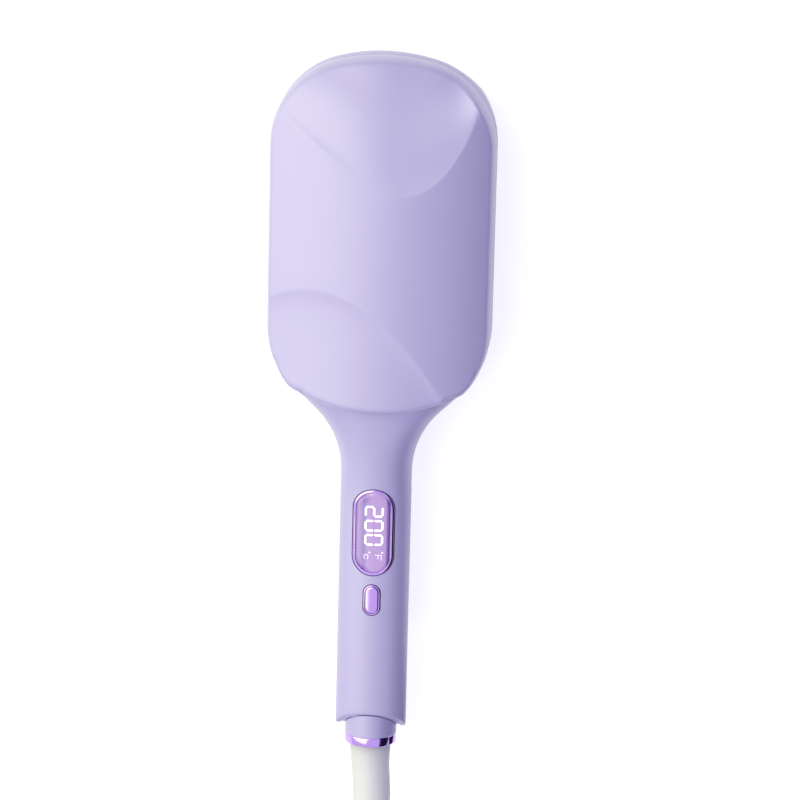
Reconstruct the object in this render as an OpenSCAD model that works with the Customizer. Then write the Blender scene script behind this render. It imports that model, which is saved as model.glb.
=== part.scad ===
// Hair waver with a squeeze lever, wide sculpted heads and a swivel mains cord.
// X runs across the tool, Y along it to the tip of the heads, Z up to the display side.
// The tool lies closed on the flat land of its lower head and on the end of its lever.

/* [Overall] */
// Length from the tip of the heads to the end ring
total_len = 320.8; // [318:0.2:324]
// Height of the line where the two heads meet, over the surface the tool lies on
parting_z = 27; // [26.6:0.1:27.4]

/* [Heads] */
// Width over the side walls
head_w = 100; // [98:0.5:102]
// Radius of the outline at the tip
tip_r = 84; // [78:1:90]
// Radius of the outline's front corners
corner_r = 38.4; // [36:0.2:40]
// Where the outline leaves the straight side at the rear
heel_y = 38; // [36:0.5:40]
// Radius of the outline's rear corners
heel_r = 43.6; // [42:0.2:45]
// Angle that the cover follows the rear corner before it turns across the neck
heel_turn = 30; // [28:1:32]
// Radius of the turn from the rear corner into the lower edge
cheek_r = 14; // [12:0.5:16]
// Radius of the cover's lower edge across the neck
smile_r = 90; // [85:1:95]
// Height of the crown over the parting line
crown_h = 28; // [27.6:0.1:28.4]
// Radius of the crown across the head
crown_r = 96; // [92:1:100]
// Height at which the sculpted tip meets the rounded rim
brow_h = 14; // [13:0.5:14]
// Width of the rounded rim
rim_w = 7.5; // [6:0.5:8]
// Height of the rounded rim
rim_drop = 8; // [7:0.5:8.5]
// Rounding of the lower edge across the neck
lip_r = 2.5; // [2:0.1:3]
// Wall thickness of the head covers
cover_t = 2.2; // [2:0.1:2.5]

/* [Sculpted creases] */
// Lowest point of the front crease, across
front_x = 11; // [8:0.5:14]
// Lowest point of the front crease, along
front_y = 102.2; // [100:0.2:104]
// Half width of the front crease's round right arm
front_arm_w = 40; // [40:0.5:44]
// Depth of the front crease's round right arm
front_arm_d = 94; // [88:1:98]
// Slope of the front crease's straight left arm
front_slope = 0.8; // [0.74:0.01:0.86]
// Softness of the bend between the two arms
front_bend = 14.2; // [12:0.2:17]
// How much steeper the front hollow starts than it goes on
front_lip = 0.5; // [0.2:0.05:0.8]
// Highest point of the rear crease, across
rear_x = -28; // [-31:0.5:-25]
// Highest point of the rear crease, along
rear_y = 57.5; // [55:0.5:60]
// Fall of the rear crease for each square of the distance across
rear_fall = 0.0143; // [0.013:0.0001:0.016]
// Depth of the rear hollow
rear_depth = 1.6; // [1.2:0.1:1.8]
// Distance over which the rear hollow takes its depth
rear_fade = 7; // [5:0.5:9]

/* [Wave plates] */
// Radius of a wave
wave_r = 16; // [15.5:0.1:16]
// Angle from a wave's crest to where the next begins
wave_a = 60; // [58:1:60]
// Gap between the closed plates
plate_gap = 0.8; // [0.6:0.1:1]
// Thickness of the plates
plate_t = 1.5; // [1.2:0.1:1.6]
// Rear end of the plates
plate_y0 = 28; // [27:0.5:29]
// Front end of the plates
plate_y1 = 130; // [127:1:130]
// Half width of the plates
plate_hw = 43.8; // [43.6:0.1:44]

/* [Handle] */
// Width of the handle
handle_w = 32.2; // [31.6:0.1:33]
// Height of the handle over the parting line
handle_top = 10.5; // [10:0.1:11]
// Depth of the handle under the parting line
handle_low = 6; // [5.8:0.1:6.4]
// Depth of the tail under the parting line
tail_low = 14.6; // [14.2:0.1:15]
// Height of the neck where it comes out from under the head cover
neck_top = 17.5; // [16:0.5:18]
// Radius of the neck's hollow sides
neck_r = 40.7; // [39:0.5:43]
// Angle of the neck's slanted sides
neck_a = 46.4; // [45:0.2:48]
// Corner of the slanted tail end, from the middle of the tool
tail_y = -152; // [-152.6:0.1:-151.4]
// How much shorter the tail is at its top and bottom
tail_slant = 7.3; // [6.6:0.1:7.8]
// Wall thickness of the handle and the lever
shell_t = 2.1; // [1.9:0.1:2.2]

/* [Hinge and lever] */
// Hinge pin, along the tool
hinge_y = -25.6; // [-26:0.1:-25]
// Hinge pin, height over the surface
hinge_z = 17; // [16.8:0.1:17.2]
// Diameter of the hinge pin
pin_d = 5; // [4.6:0.1:5]
// Angle that the jaws open
open_a = 10; // [9:0.1:10]
// End of the lever
lever_y = -108; // [-109:0.5:-107]
// Width of the lever
lever_w = 27; // [26:0.5:28]
// Turns of the return spring
spring_turns = 5; // [4:1:5]

/* [Display and button] */
// Middle of the display, along the tool
display_y = -57.2; // [-58:0.1:-56]
// Width of the display window
display_w = 19.4; // [19:0.1:19.6]
// Length of the display window
display_l = 41.4; // [40:0.1:42]
// Middle of the button, along the tool
button_y = -89.2; // [-90:0.1:-88]
// Width over the button's surround
button_w = 8.3; // [8:0.1:8.6]
// Length over the button's surround
button_l = 15.1; // [14.6:0.1:15.6]

/* [Tail and swivel] */
// Diameter of the collar and the end ring
collar_d = 23.5; // [23:0.1:23.8]
// Height of the collar's axis over the parting line
collar_up = -1.5; // [-1.6:0.1:-1.4]
// Length of the end ring
ring_l = 4.4; // [4:0.1:4.8]
// Diameter of the strain relief where it comes out of the ring
boot_d = 18.8; // [18:0.1:19]
// Length of the strain relief
boot_l = 60; // [60:1:60]

/* [Cord] */
// Diameter of the cord
cord_d = 6; // [6:0.1:6]
// Loops in the coil, in two layers
coil_loops = 8; // [8:2:8]
// Distance between neighbouring turns
coil_pitch = 6.6; // [6.6:0.1:6.7]
// Radius of the coil's innermost turn
coil_in_r = 21; // [21:0.5:22]
// Diameter of a plug pin
plug_pin_d = 4; // [4:0.1:4]
// Distance between the plug pins
plug_pin_gap = 18.6; // [18.6:0.1:18.6]

/* [Hidden] */

BODY = [0.80, 0.76, 0.91];
PLATED = [0.63, 0.42, 0.82];
CORD_WHITE = [0.92, 0.92, 0.92];
HEAT_BLACK = [0.16, 0.16, 0.18];
STEEL = [0.72, 0.73, 0.76];
GLAZE = [0.42, 0.36, 0.50];
BOARD = [0.10, 0.35, 0.22];

tip_y = total_len / 2;
ring_y = -total_len / 2;
hw = head_w / 2;
nw = handle_w / 2;
axis_z = parting_z + collar_up;

function far(dx, dy) = sqrt(dx * dx + dy * dy);
function mix(a, b, t) = a + (b - a) * t;
function clip(v, low, high) = min(high, max(low, v));
// Smooth step from 0 to 1 as v goes from a to b
function ease(v, a, b) = let (t = clip((v - a) / (b - a), 0, 1)) t * t * (3 - 2 * t);
// Arc as points, from angle a0 to a1
function arc(cx, cy, r, a0, a1, n) =
    [for (i = [0 : n]) let (a = mix(a0, a1, i / n)) [cx + r * cos(a), cy + r * sin(a)]];

// Centres of the head outline's arcs, right side
tip_c = [0, tip_y - tip_r];
corner_c = [hw - corner_r, tip_c[1] + sqrt(pow(tip_r - corner_r, 2) - pow(hw - corner_r, 2))];
tip_x = tip_r * (hw - corner_r) / (tip_r - corner_r);
heel_c = [hw - heel_r, heel_y];
heel_end = [heel_c[0] + heel_r * cos(heel_turn), heel_c[1] - heel_r * sin(heel_turn)];
cheek_c = [heel_end[0] - cheek_r * cos(heel_turn), heel_end[1] + cheek_r * sin(heel_turn)];
smile_a = acos(cheek_c[0] / (smile_r - cheek_r));
smile_c = [0, cheek_c[1] + (smile_r - cheek_r) * sin(smile_a)];
smile_x = smile_r * cos(smile_a);

// Front and rear edge of the head at a distance x from its middle line
function front_edge(x) = abs(x) < tip_x
    ? tip_c[1] + sqrt(tip_r * tip_r - x * x)
    : corner_c[1] + sqrt(max(0, pow(corner_r, 2) - pow(abs(x) - corner_c[0], 2)));
function rear_edge(x) = abs(x) < smile_x
    ? smile_c[1] - sqrt(smile_r * smile_r - x * x)
    : abs(x) < heel_end[0]
        ? cheek_c[1] - sqrt(cheek_r * cheek_r - pow(abs(x) - cheek_c[0], 2))
        : heel_c[1] - sqrt(max(0, heel_r * heel_r - pow(abs(x) - heel_c[0], 2)));

// Distance inwards from the rounded rim, and from the lower edge across the neck
function rim_far(x, y) = let (u = abs(x)) min(
    hw - u,
    tip_r - far(u, y - tip_c[1]),
    u > corner_c[0] && y > corner_c[1] ? corner_r - far(u - corner_c[0], y - corner_c[1]) : hw,
    u > heel_c[0] && y < heel_c[1] ? heel_r - far(u - heel_c[0], y - heel_c[1]) : hw);
function smile_far(x, y) = let (u = abs(x)) min(
    smile_r - far(u, y - smile_c[1]),
    u > cheek_c[0] && y < cheek_c[1] ? cheek_r - far(u - cheek_c[0], y - cheek_c[1]) : hw);
// Fall of a rounded edge at a distance d inside it
function round_off(d, w, drop) = d >= w ? 0 : drop * (1 - sqrt(1 - pow(1 - max(0, d) / w, 2)));

// The two creases, as the distance along the tool for each x
function front_crease(x) = let (u = x - front_x) front_y + (u > 0
    ? front_arm_d * (1 - sqrt(max(0, 1 - pow(u / front_arm_w, 2))))
    : front_slope * (sqrt(u * u + front_bend * front_bend) - front_bend));
function rear_crease(x) = rear_y - rear_fall * pow(x - rear_x, 2);

// Height of the head's surface over the parting line
function crown(x) = crown_h - crown_r + sqrt(crown_r * crown_r - x * x);
function front_hollow(x, y) = let (
    start = front_crease(x),
    t = clip((y - start) / max(front_edge(x) - start, 2 * rim_w), 0, 1))
    (crown(x) - brow_h) * (t + front_lip * t * pow(1 - t, 2));
function rear_hollow(x, y) = let (u = rear_crease(x) - y)
    u <= 0 ? 0 : rear_depth * (1 - exp(-u / rear_fade));
function head_h(x, y) = crown(x) - front_hollow(x, y) - rear_hollow(x, y)
    - round_off(rim_far(x, y), rim_w, rim_drop) - round_off(smile_far(x, y), lip_r, lip_r);

// Half width of the neck and handle, with hollow sides blending into the handle
slant_top = [heel_c[0] + heel_r * cos(neck_a), heel_c[1] - heel_r * sin(neck_a)];
slant_x = nw + neck_r * (1 - cos(neck_a));
slant_y = slant_top[1] - (slant_top[0] - slant_x) / tan(neck_a);
neck_y = slant_y - neck_r * sin(neck_a);
function half_w(y) = y >= slant_top[1] ? heel_c[0] + sqrt(heel_r * heel_r - pow(heel_c[1] - y, 2))
    : y >= slant_y ? mix(slant_x, slant_top[0], (y - slant_y) / (slant_top[1] - slant_y))
    : y >= neck_y ? nw + neck_r - sqrt(neck_r * neck_r - pow(y - neck_y, 2))
    : nw;
// Roundness of the neck's section: 2 is an ellipse, more is fuller
function fullness(y) = mix(2, 2.6, ease(y, -45, 10));
// How far the neck and the lever draw in inside the head covers
function tuck(y) = 2.3 * ease(y, 8, 15);
function neck_h(y) = mix(handle_top, neck_top, ease(y, -52, 12));
function neck_surface(x, y) = let (w = half_w(y), p = fullness(y))
    neck_h(y) * pow(max(0, 1 - pow(min(1, abs(x) / w), p)), 1 / p);

// Two triangles for each cell of a grid of rows and columns; flip turns them over
function grid_faces(rows, cols, first, flip) =
    [for (r = [0 : rows - 2], c = [0 : cols - 2], half = [0, 1])
        let (a = first + r * cols + c, b = a + 1, d = a + cols, e = d + 1,
            f = half == 0 ? [a, b, e] : [a, e, d])
        flip ? [f[2], f[1], f[0]] : f];
// Indices once round the edge of such a grid
function edge_loop(rows, cols, first) = concat(
    [for (c = [0 : cols - 2]) first + c],
    [for (r = [0 : rows - 2]) first + r * cols + cols - 1],
    [for (c = [cols - 1 : -1 : 1]) first + (rows - 1) * cols + c],
    [for (r = [rows - 1 : -1 : 1]) first + r * cols]);
// Triangles between two loops of the same length, the first one above or outside
function band_faces(a, b) = [for (i = [0 : len(a) - 1], half = [0, 1])
    let (j = (i + 1) % len(a)) half == 0 ? [a[j], a[i], b[i]] : [a[j], b[i], b[j]]];
function flatten(list) = [for (row = list, p = row) p];

// Rows and columns on which the head's surface is worked out: they follow the creases
col_n = 15;
COLS = [for (i = [-col_n : col_n]) hw * sin(90 * i / col_n)];
FRONT_STEPS = [0, 0.01, 0.04, 0.09, 0.16, 0.3, 0.5, 0.75, 1];
CROWN_STEPS = [0.06, 0.15, 0.5, 0.85, 0.94, 1];
REAR_STEPS = [0.04, 0.1, 0.18, 0.3, 0.5, 0.75, 0.9, 0.97, 1];
shortest_zone = 8;
function column_ys(x) = let (
    top = front_edge(x),
    low = rear_edge(x),
    a = min(front_crease(x), top - shortest_zone),
    b = max(rear_crease(x), low + shortest_zone))
    concat([for (t = FRONT_STEPS) mix(top, a, t)], [for (t = CROWN_STEPS) mix(a, b, t)],
        [for (t = REAR_STEPS) mix(b, low, t)]);
COLUMN_YS = [for (x = COLS) column_ys(x)];
head_rows = len(COLUMN_YS[0]);
head_cols = len(COLS);

// Height of the cover's lower rim: on the parting line, and over the neck where that passes under
neck_seat = 0.3;
part_gap = 0.15;
function seat_h(x, y) = abs(x) < heel_end[0] && y < heel_end[1] + cover_t
    ? neck_surface(x, min(y, heel_end[1])) + neck_seat : part_gap;

// A head cover: the outer surface, the inner one and the rim between them; flat_h cuts a flat land
module cover_shell(flat_h) {
    shrink = (hw - cover_t) / hw;
    outer = [for (r = [0 : head_rows - 1]) [for (c = [0 : head_cols - 1])
        let (x = COLS[c], y = COLUMN_YS[c][r]) [x, y, min(flat_h, head_h(x, y))]]];
    inner = [for (r = [0 : head_rows - 1]) [for (c = [0 : head_cols - 1])
        let (p = outer[r][c], top = COLUMN_YS[c][0], low = COLUMN_YS[c][head_rows - 1],
            mid = (top + low) / 2)
        [p[0] * shrink, mid + (p[1] - mid) * (1 - 2 * cover_t / (top - low)), p[2] - cover_t]]];
    n = head_rows * head_cols;
    loop_a = edge_loop(head_rows, head_cols, 0);
    loop_d = edge_loop(head_rows, head_cols, n);
    grids = concat(flatten(outer), flatten(inner));
    last_row = (head_rows - 1) * head_cols;
    function foot(k, low) = let (p = grids[k], on_neck = (k % n) >= last_row)
        [p[0], p[1], on_neck ? seat_h(p[0], p[1]) : part_gap];
    feet_b = [for (k = loop_a) foot(k)];
    feet_c = [for (k = loop_d) foot(k)];
    m = len(loop_a);
    loop_b = [for (i = [0 : m - 1]) 2 * n + i];
    loop_c = [for (i = [0 : m - 1]) 2 * n + m + i];
    polyhedron(
        points = concat(grids, feet_b, feet_c),
        faces = concat(grid_faces(head_rows, head_cols, 0, false), band_faces(loop_a, loop_b),
            band_faces(loop_b, loop_c), band_faces(loop_c, loop_d),
            grid_faces(head_rows, head_cols, n, true)));
}

// A half shell between two grids of points, outer and inner, joined round their edges
module half_shell(outer, inner) {
    rows = len(outer);
    cols = len(outer[0]);
    n = rows * cols;
    polyhedron(
        points = concat(flatten(outer), flatten(inner)),
        faces = concat(grid_faces(rows, cols, 0, false),
            band_faces(edge_loop(rows, cols, 0), edge_loop(rows, cols, n)),
            grid_faces(rows, cols, n, true)));
}
// Half section of width w and height h at a distance y, with n steps on each side of the middle;
// cut shortens the end of the shell with the height
function half_section(w, h, p, y, n, cut) = [for (i = [-n : n])
    let (a = 90 * i / n, s = sin(a), k = cos(a))
    [w * sign(s) * pow(abs(s), 2 / p), y + cut * pow(max(0, k), 2 / p), h * pow(max(0, k), 2 / p)]];

// Stations along the neck and handle
NECK_YS = [heel_end[1], 12, 8, 4, 0, -4, -8, -12, -16, -20, -25, -31, -38, -45, -53, -112, -126, -138,
    tail_y];

// Screw bosses inside a cover, from its ceiling down to the carrier
SCREW_SPOTS = [[-37, 134.5], [37, 134.5], [-38, 21], [38, 21]];
carrier_t = 5;
carrier_z = 0.35;
boss_d = 6.4;
screw_d = 2.8;
bore_d = screw_d + 0.1;
screw_head_d = 5.2;
head_bore_d = screw_head_d + 0.6;
module cover_bosses() {
    low = carrier_z + carrier_t + 0.1;
    for (p = SCREW_SPOTS) translate([p[0], p[1], low]) difference() {
        cylinder(h = head_h(p[0], p[1]) - cover_t + 0.5 - low, d = boss_d, $fn = 32);
        translate([0, 0, -1]) cylinder(h = 8, d = bore_d, $fn = 24);
    }
}
module upper_head_cover() {
    color(BODY) translate([0, 0, parting_z]) {
        cover_shell(crown_h);
        cover_bosses();
    }
}

// The mirror of the upper cover, cut flat where the tool lies on it
module lower_head_cover() {
    color(BODY) translate([0, 0, parting_z]) mirror([0, 0, 1]) {
        cover_shell(parting_z);
        cover_bosses();
    }
}

// A rounded slot shape, w across and l along
module stadium(w, l) {
    for (s = [-1, 1]) translate([0, s * (l - w) / 2]) circle(d = w, $fn = 48);
    square([w, l - w], center = true);
}
module stadium_prism(w, l, h) {
    linear_extrude(h) stadium(w, l);
}

// The handle's upper shell, with the window and button openings and two screw bosses
HANDLE_SCREW_YS = [-102, -132];
module handle_upper_shell() {
    n = 12;
    last = len(NECK_YS) - 1;
    function rows(t) = [for (i = [0 : last])
        let (y = NECK_YS[i], w = half_w(y) - t - tuck(y), h = neck_h(y) - t - tuck(y) / 5)
        half_section(w, h, fullness(y), y, n, i == last ? tail_slant : 0)];
    color(BODY) {
        difference() {
            translate([0, 0, parting_z + part_gap]) half_shell(rows(0), rows(shell_t));
            translate([0, display_y, parting_z + 2]) stadium_prism(display_w, display_l, 12);
            translate([0, button_y, parting_z + 2]) stadium_prism(button_w, button_l, 12);
        }
        for (y = HANDLE_SCREW_YS) translate([0, y, parting_z + 0.6]) difference() {
            cylinder(h = handle_top - shell_t, d = boss_d, $fn = 32);
            translate([0, 0, -1]) cylinder(h = 7.5, d = bore_d, $fn = 24);
        }
    }
}

// Depth of the handle's underside below the parting line: nothing over the lever's neck,
// more over the lever, most at the tail
floor_y = hinge_y - 12;
floor_t = 2.4;
function under_d(y) = handle_low * ease(-y, -floor_y, 58) + (tail_low - handle_low) * ease(-y, 113, 138);
UNDER_YS = [floor_y, -41, -45, -49, -53, -58, -113, -118, -123, -128, -133, -138, tail_y];
// Level of the handle screws' heads below the parting line, and the screws' length
handle_screw_z = handle_low - 0.2;
handle_screw_l = 12;
// Width of the web that joins the tray to the neck's floor
web_w = 24;

// The handle's underside: a tray behind the neck, a flat floor in the neck, screw tubes
module handle_lower_shell() {
    color(BODY) difference() {
        union() {
            lower_tray();
            neck_floor();
            translate([-web_w / 2, floor_y - 2.5, parting_z - 0.5]) cube([web_w, 3.5, floor_t + 0.7]);
            for (y = HANDLE_SCREW_YS) translate([0, y, parting_z - under_d(y) + 0.6])
                cylinder(h = under_d(y) - 0.1, d = 8.4, $fn = 32);
        }
        for (y = HANDLE_SCREW_YS) translate([0, y, 0]) {
            translate([0, 0, parting_z - 30])
                cylinder(h = 30 - handle_screw_z + screw_head_h, d = head_bore_d, $fn = 32);
            translate([0, 0, parting_z - 10]) cylinder(h = 12, d = bore_d + 0.3, $fn = 24);
        }
    }
}

// The tray, closed all round below the parting line
module lower_tray() {
    n = 8;
    skin = 0.3;
    last = len(UNDER_YS) - 1;
    function rows(w, t) = [for (i = [0 : last]) let (d = max(under_d(UNDER_YS[i]), 2 * skin))
        half_section(w, d - min(t, d / 2), 2.4, UNDER_YS[i], n, i == last ? tail_slant : 0)];
    translate([0, 0, parting_z - part_gap]) mirror([0, 0, 1])
        half_shell(rows(nw, 0), rows(nw - shell_t, shell_t));
}

// Plan outline of the neck between two distances, narrowed by t
function neck_side(y0, y1, t, n) =
    [for (i = [0 : n]) let (y = mix(y0, y1, i / n)) [half_w(y) - t - tuck(y), y]];
module neck_plan(y0, y1, t) {
    right = neck_side(y0, y1, t, 20);
    polygon(concat(right, [for (i = [len(right) - 1 : -1 : 0]) [-right[i][0], right[i][1]]]));
}

// The flat floor of the upper neck, with slots for the hinge ears
ear_x = 6.2;
ear_t = 2.5;
ear_r = 4.8;
module neck_floor() {
    slot = [ear_t + 0.8, 2 * ear_r + 1, 6];
    difference() {
        translate([0, 0, parting_z + 0.3]) linear_extrude(floor_t)
            neck_plan(floor_y, heel_end[1], shell_t + 1.3);
        for (s = [-1, 1]) translate([s * (ear_x + ear_t / 2), hinge_y, parting_z]) cube(slot, center = true);
    }
}

// Part of a round wall of radius r and thickness t, between two angles
module ring_sector(r, t, a0, a1) {
    reach = 2 * (r + t);
    intersection() {
        difference() {
            circle(r + t, $fn = 96);
            circle(r, $fn = 96);
        }
        polygon([[0, 0], [reach * cos(a0), reach * sin(a0)],
            [reach * cos((a0 + a1) / 2), reach * sin((a0 + a1) / 2)], [reach * cos(a1), reach * sin(a1)]]);
    }
}

wave_x = 2 * wave_r * sin(wave_a);
wave_z = wave_r * cos(wave_a);
wave_end = 1.5 * wave_x;
// Profile of the upper plate, z up from the parting line: one wave down, a hollow on each side
module upper_wave() {
    translate([0, wave_z])
        ring_sector(wave_r - plate_gap / 2 - plate_t, plate_t, 270 - wave_a, 270 + wave_a);
    clamp_ribs();
    for (s = [-1, 1]) {
        translate([s * wave_x, -wave_z])
            ring_sector(wave_r + plate_gap / 2, plate_t, 90 - wave_a, 90 + wave_a);
        edge_strip(s, wave_end + 0.24, plate_gap / 2);
    }
}
// Profile of the lower plate: two waves up, a hollow between them
module lower_wave() {
    translate([0, wave_z]) ring_sector(wave_r + plate_gap / 2, plate_t, 270 - wave_a, 270 + wave_a);
    for (s = [-1, 1]) {
        translate([s * wave_x, -wave_z])
            ring_sector(wave_r - plate_gap / 2 - plate_t, plate_t, 90 - wave_a, 90 + wave_a);
        translate([s * wave_x, 0]) mirror([0, 1]) clamp_ribs();
        edge_strip(s, wave_end - 0.9, -plate_gap / 2 - plate_t);
    }
}
// Ribs in a wave's hollow back, under which a clamp leaf snaps
rib_x = 8.9;
rib_z = 1.15;
rib_w = 4.2;
module clamp_ribs() {
    for (s = [-1, 1]) translate([s > 0 ? rib_x : -rib_x - rib_w, rib_z]) square([rib_w, 1]);
}
// The flat strip along a plate's side, from x0 outwards
module edge_strip(side, x0, z) {
    translate([side > 0 ? x0 : -plate_hw, z]) square([plate_hw - x0, plate_t]);
}
// The end of a wave, between its surface and the parting line
module wave_end_cap(up) {
    mirror([0, up ? 0 : 1]) intersection() {
        translate([0, -wave_z]) circle(wave_r - plate_gap / 2 - 0.1, $fn = 96);
        translate([-wave_r, -plate_gap / 2 - plate_t]) square([2 * wave_r, 2 * wave_r]);
    }
}
// Stands a profile drawn in X and Z up and draws it out along Y from y0 to y1
module along(y0, y1) {
    translate([0, y1, 0]) rotate([90, 0, 0]) linear_extrude(y1 - y0) children();
}

module upper_plate() {
    color(GLAZE) translate([0, 0, parting_z]) {
        along(plate_y0, plate_y1) upper_wave();
        for (y = [plate_y0, plate_y1 - plate_t]) along(y, y + plate_t) wave_end_cap(false);
    }
}

module lower_plate() {
    color(GLAZE) translate([0, 0, parting_z]) {
        along(plate_y0, plate_y1) lower_wave();
        for (y = [plate_y0, plate_y1 - plate_t], s = [-1, 1])
            translate([s * wave_x, 0, 0]) along(y, y + plate_t) wave_end_cap(true);
    }
}

// Plan outline of the head, drawn in by t; the neck end is straight across
arc_n = 10;
function plan_side(t) = let (
    front_a = acos((hw - corner_r) / (tip_r - corner_r)))
    concat(
        arc(heel_c[0], heel_c[1], heel_r - t, -heel_turn, 0, 5),
        arc(corner_c[0], corner_c[1], corner_r - t, 0, front_a, arc_n),
        [for (p = arc(tip_c[0], tip_c[1], tip_r - t, front_a, 90, 6)) if (p[0] > 0.01) p]);
module head_plan(t) {
    side = plan_side(t);
    polygon(concat(side, [for (i = [len(side) - 1 : -1 : 0]) [-side[i][0], side[i][1]]]));
}

carrier_inset = cover_t + 1;
plate_play = 0.3;
// Room that the other plate's waves need past their ends as the jaws open
swing_play = 1.2;
// Where the ledges over the plate's flat sides begin
ledge_x = wave_end + 1.2;
// Frame between a plate and its cover, with ledges that the plate's flat sides bear on
module carrier() {
    difference() {
        translate([0, 0, carrier_z]) linear_extrude(carrier_t) head_plan(carrier_inset);
        carrier_opening(plate_hw + plate_play, plate_play);
        carrier_opening(wave_end + 0.5, swing_play);
        for (p = SCREW_SPOTS) translate([p[0], p[1], -1]) {
            cylinder(h = 10, d = bore_d + 0.3, $fn = 24);
            cylinder(h = 1 + carrier_z + screw_head_h + 0.3, d = head_bore_d, $fn = 32);
        }
    }
    ledge_w = plate_hw + plate_play + 0.1 - ledge_x;
    ledge_z = plate_gap / 2 + plate_t + 0.05;
    for (s = [-1, 1]) translate([s > 0 ? ledge_x : -ledge_x - ledge_w, plate_y0, ledge_z])
        cube([ledge_w, plate_y1 - plate_y0, 2.5]);
}
// An opening of half width w that reaches a little past the plate's ends
module carrier_opening(w, past) {
    translate([-w, plate_y0 - past, -1]) cube([2 * w, plate_y1 - plate_y0 + 2 * past, carrier_t + 2]);
}

module upper_carrier() {
    color(HEAT_BLACK) translate([0, 0, parting_z]) carrier();
}
module lower_carrier() {
    color(HEAT_BLACK) translate([0, 0, parting_z]) mirror([0, 0, 1]) carrier();
}

// Pan head screw with a cross slot, head down, shank up
screw_head_h = 1.7;
module screw(l) {
    difference() {
        cylinder(h = screw_head_h, d = screw_head_d, $fn = 32);
        for (a = [0, 90]) rotate(a) translate([-1.5, -0.35, -0.1]) cube([3, 0.7, 1]);
    }
    cylinder(h = l, d = screw_d, $fn = 24);
}
carrier_screw_l = 10;
module carrier_screws() {
    color(STEEL) for (p = SCREW_SPOTS)
        translate([p[0], p[1], parting_z + carrier_z + 0.2]) screw(carrier_screw_l);
}
module lower_carrier_screws() {
    color(STEEL) translate([0, 0, parting_z - carrier_z - 0.2]) mirror([0, 0, 1])
        for (p = SCREW_SPOTS) translate([p[0], p[1], 0]) screw(carrier_screw_l);
}

heater_w = 13;
heater_t = 4.6;
heater_y0 = plate_y0 + 8;
heater_y1 = plate_y1 - 8;
back_r = wave_r - plate_gap / 2 - plate_t;
heater_floor = sqrt(back_r * back_r - pow(heater_w / 2, 2)) - wave_z - 0.1;
// A flat heater bar in the hollow back of a wave that bulges away from z = 0
module heater_bar() {
    translate([-heater_w / 2, heater_y0, -heater_floor]) cube([heater_w, heater_y1 - heater_y0, heater_t]);
}
module upper_heater() {
    color("white") translate([0, 0, parting_z]) heater_bar();
}
module lower_heaters() {
    color("white") for (s = [-1, 1]) translate([s * wave_x, 0, parting_z]) mirror([0, 0, 1]) heater_bar();
}

// A leaf of spring steel over a heater bar, snapped under the ribs
clamp_l = 70;
leaf_t = 0.8;
leaf_z = heater_t - heater_floor + 0.05;
module heater_clamp() {
    y0 = (plate_y0 + plate_y1 - clamp_l) / 2;
    difference() {
        translate([-rib_x - 1.6, y0, leaf_z]) cube([2 * (rib_x + 1.6), clamp_l, leaf_t]);
        for (k = [0.15, 0.85]) translate([0, y0 + k * clamp_l, leaf_z - 1]) cylinder(h = 3, d = 5, $fn = 32);
    }
}
module upper_heater_clamp() {
    color(STEEL) translate([0, 0, parting_z]) heater_clamp();
}
module lower_heater_clamps() {
    color(STEEL) for (s = [-1, 1]) translate([s * wave_x, 0, parting_z]) mirror([0, 0, 1]) heater_clamp();
}

sensor_z = leaf_z + leaf_t + 0.05;
// A thermal cut-out in its sleeve on the upper clamp
module thermal_cutout() {
    color("khaki") translate([0, 86, parting_z + sensor_z + 2.5]) rotate([90, 0, 0]) {
        cylinder(h = 14, d = 4.8, $fn = 32);
        translate([0, 0, -6]) cylinder(h = 26, d = 1, $fn = 16);
    }
}
// A disc thermostat on one of the lower clamps
module thermostat() {
    color("dimgray") translate([wave_x, 78, parting_z - sensor_z]) mirror([0, 0, 1]) {
        cylinder(h = 4, d = 11, $fn = 48);
        translate([-8, -2.5, 0.05]) cube([16, 5, 1.2]);
    }
}

// The display and the button lie in frames that follow the handle's round top. Their outlines
// are loops of points, clockwise from above, laid on that surface and skinned over.
end_n = 14;
side_n = 5;
function slot_loop(w, l) = let (r = w / 2, s = (l - w) / 2) concat(
    [for (i = [0 : end_n]) let (a = 180 * i / end_n) [-r * cos(a), s + r * sin(a)]],
    [for (i = [1 : side_n - 1]) [r, mix(s, -s, i / side_n)]],
    [for (i = [0 : end_n]) let (a = 180 * i / end_n) [r * cos(a), -s - r * sin(a)]],
    [for (i = [1 : side_n - 1]) [-r, mix(-s, s, i / side_n)]]);
function on_handle(x, y, up) = [x, y, parting_z + part_gap + neck_surface(x, y) + up];
function laid_loop(w, l, y, up) = [for (p = slot_loop(w, l)) on_handle(p[0], y + p[1], up)];
function flat_loop(w, l, y, z) = [for (p = slot_loop(w, l)) [p[0], y + p[1], z]];
// Skins a solid over loops that run from the middle of its top outwards, down and back in.
// Two tips close it at the middle; without them the last loop joins the first one.
module skin(loops, tips) {
    m = len(loops);
    n = len(loops[0]);
    last = (m - 1) * n;
    function indices(k) = [for (i = [0 : n - 1]) (k % m) * n + i];
    walls = [for (k = [0 : m - (len(tips) > 0 ? 2 : 1)]) band_faces(indices(k), indices(k + 1))];
    fans = len(tips) == 0 ? [] : [for (i = [0 : n - 1]) let (j = (i + 1) % n)
        [[m * n, i, j], [m * n + 1, last + j, last + i]]];
    polyhedron(points = concat(flatten(loops), tips), faces = concat(flatten(walls), flatten(fans)));
}

bezel_proud = 0.4;
bezel_bevel = 0.6;
fit_gap = 0.15;
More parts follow.
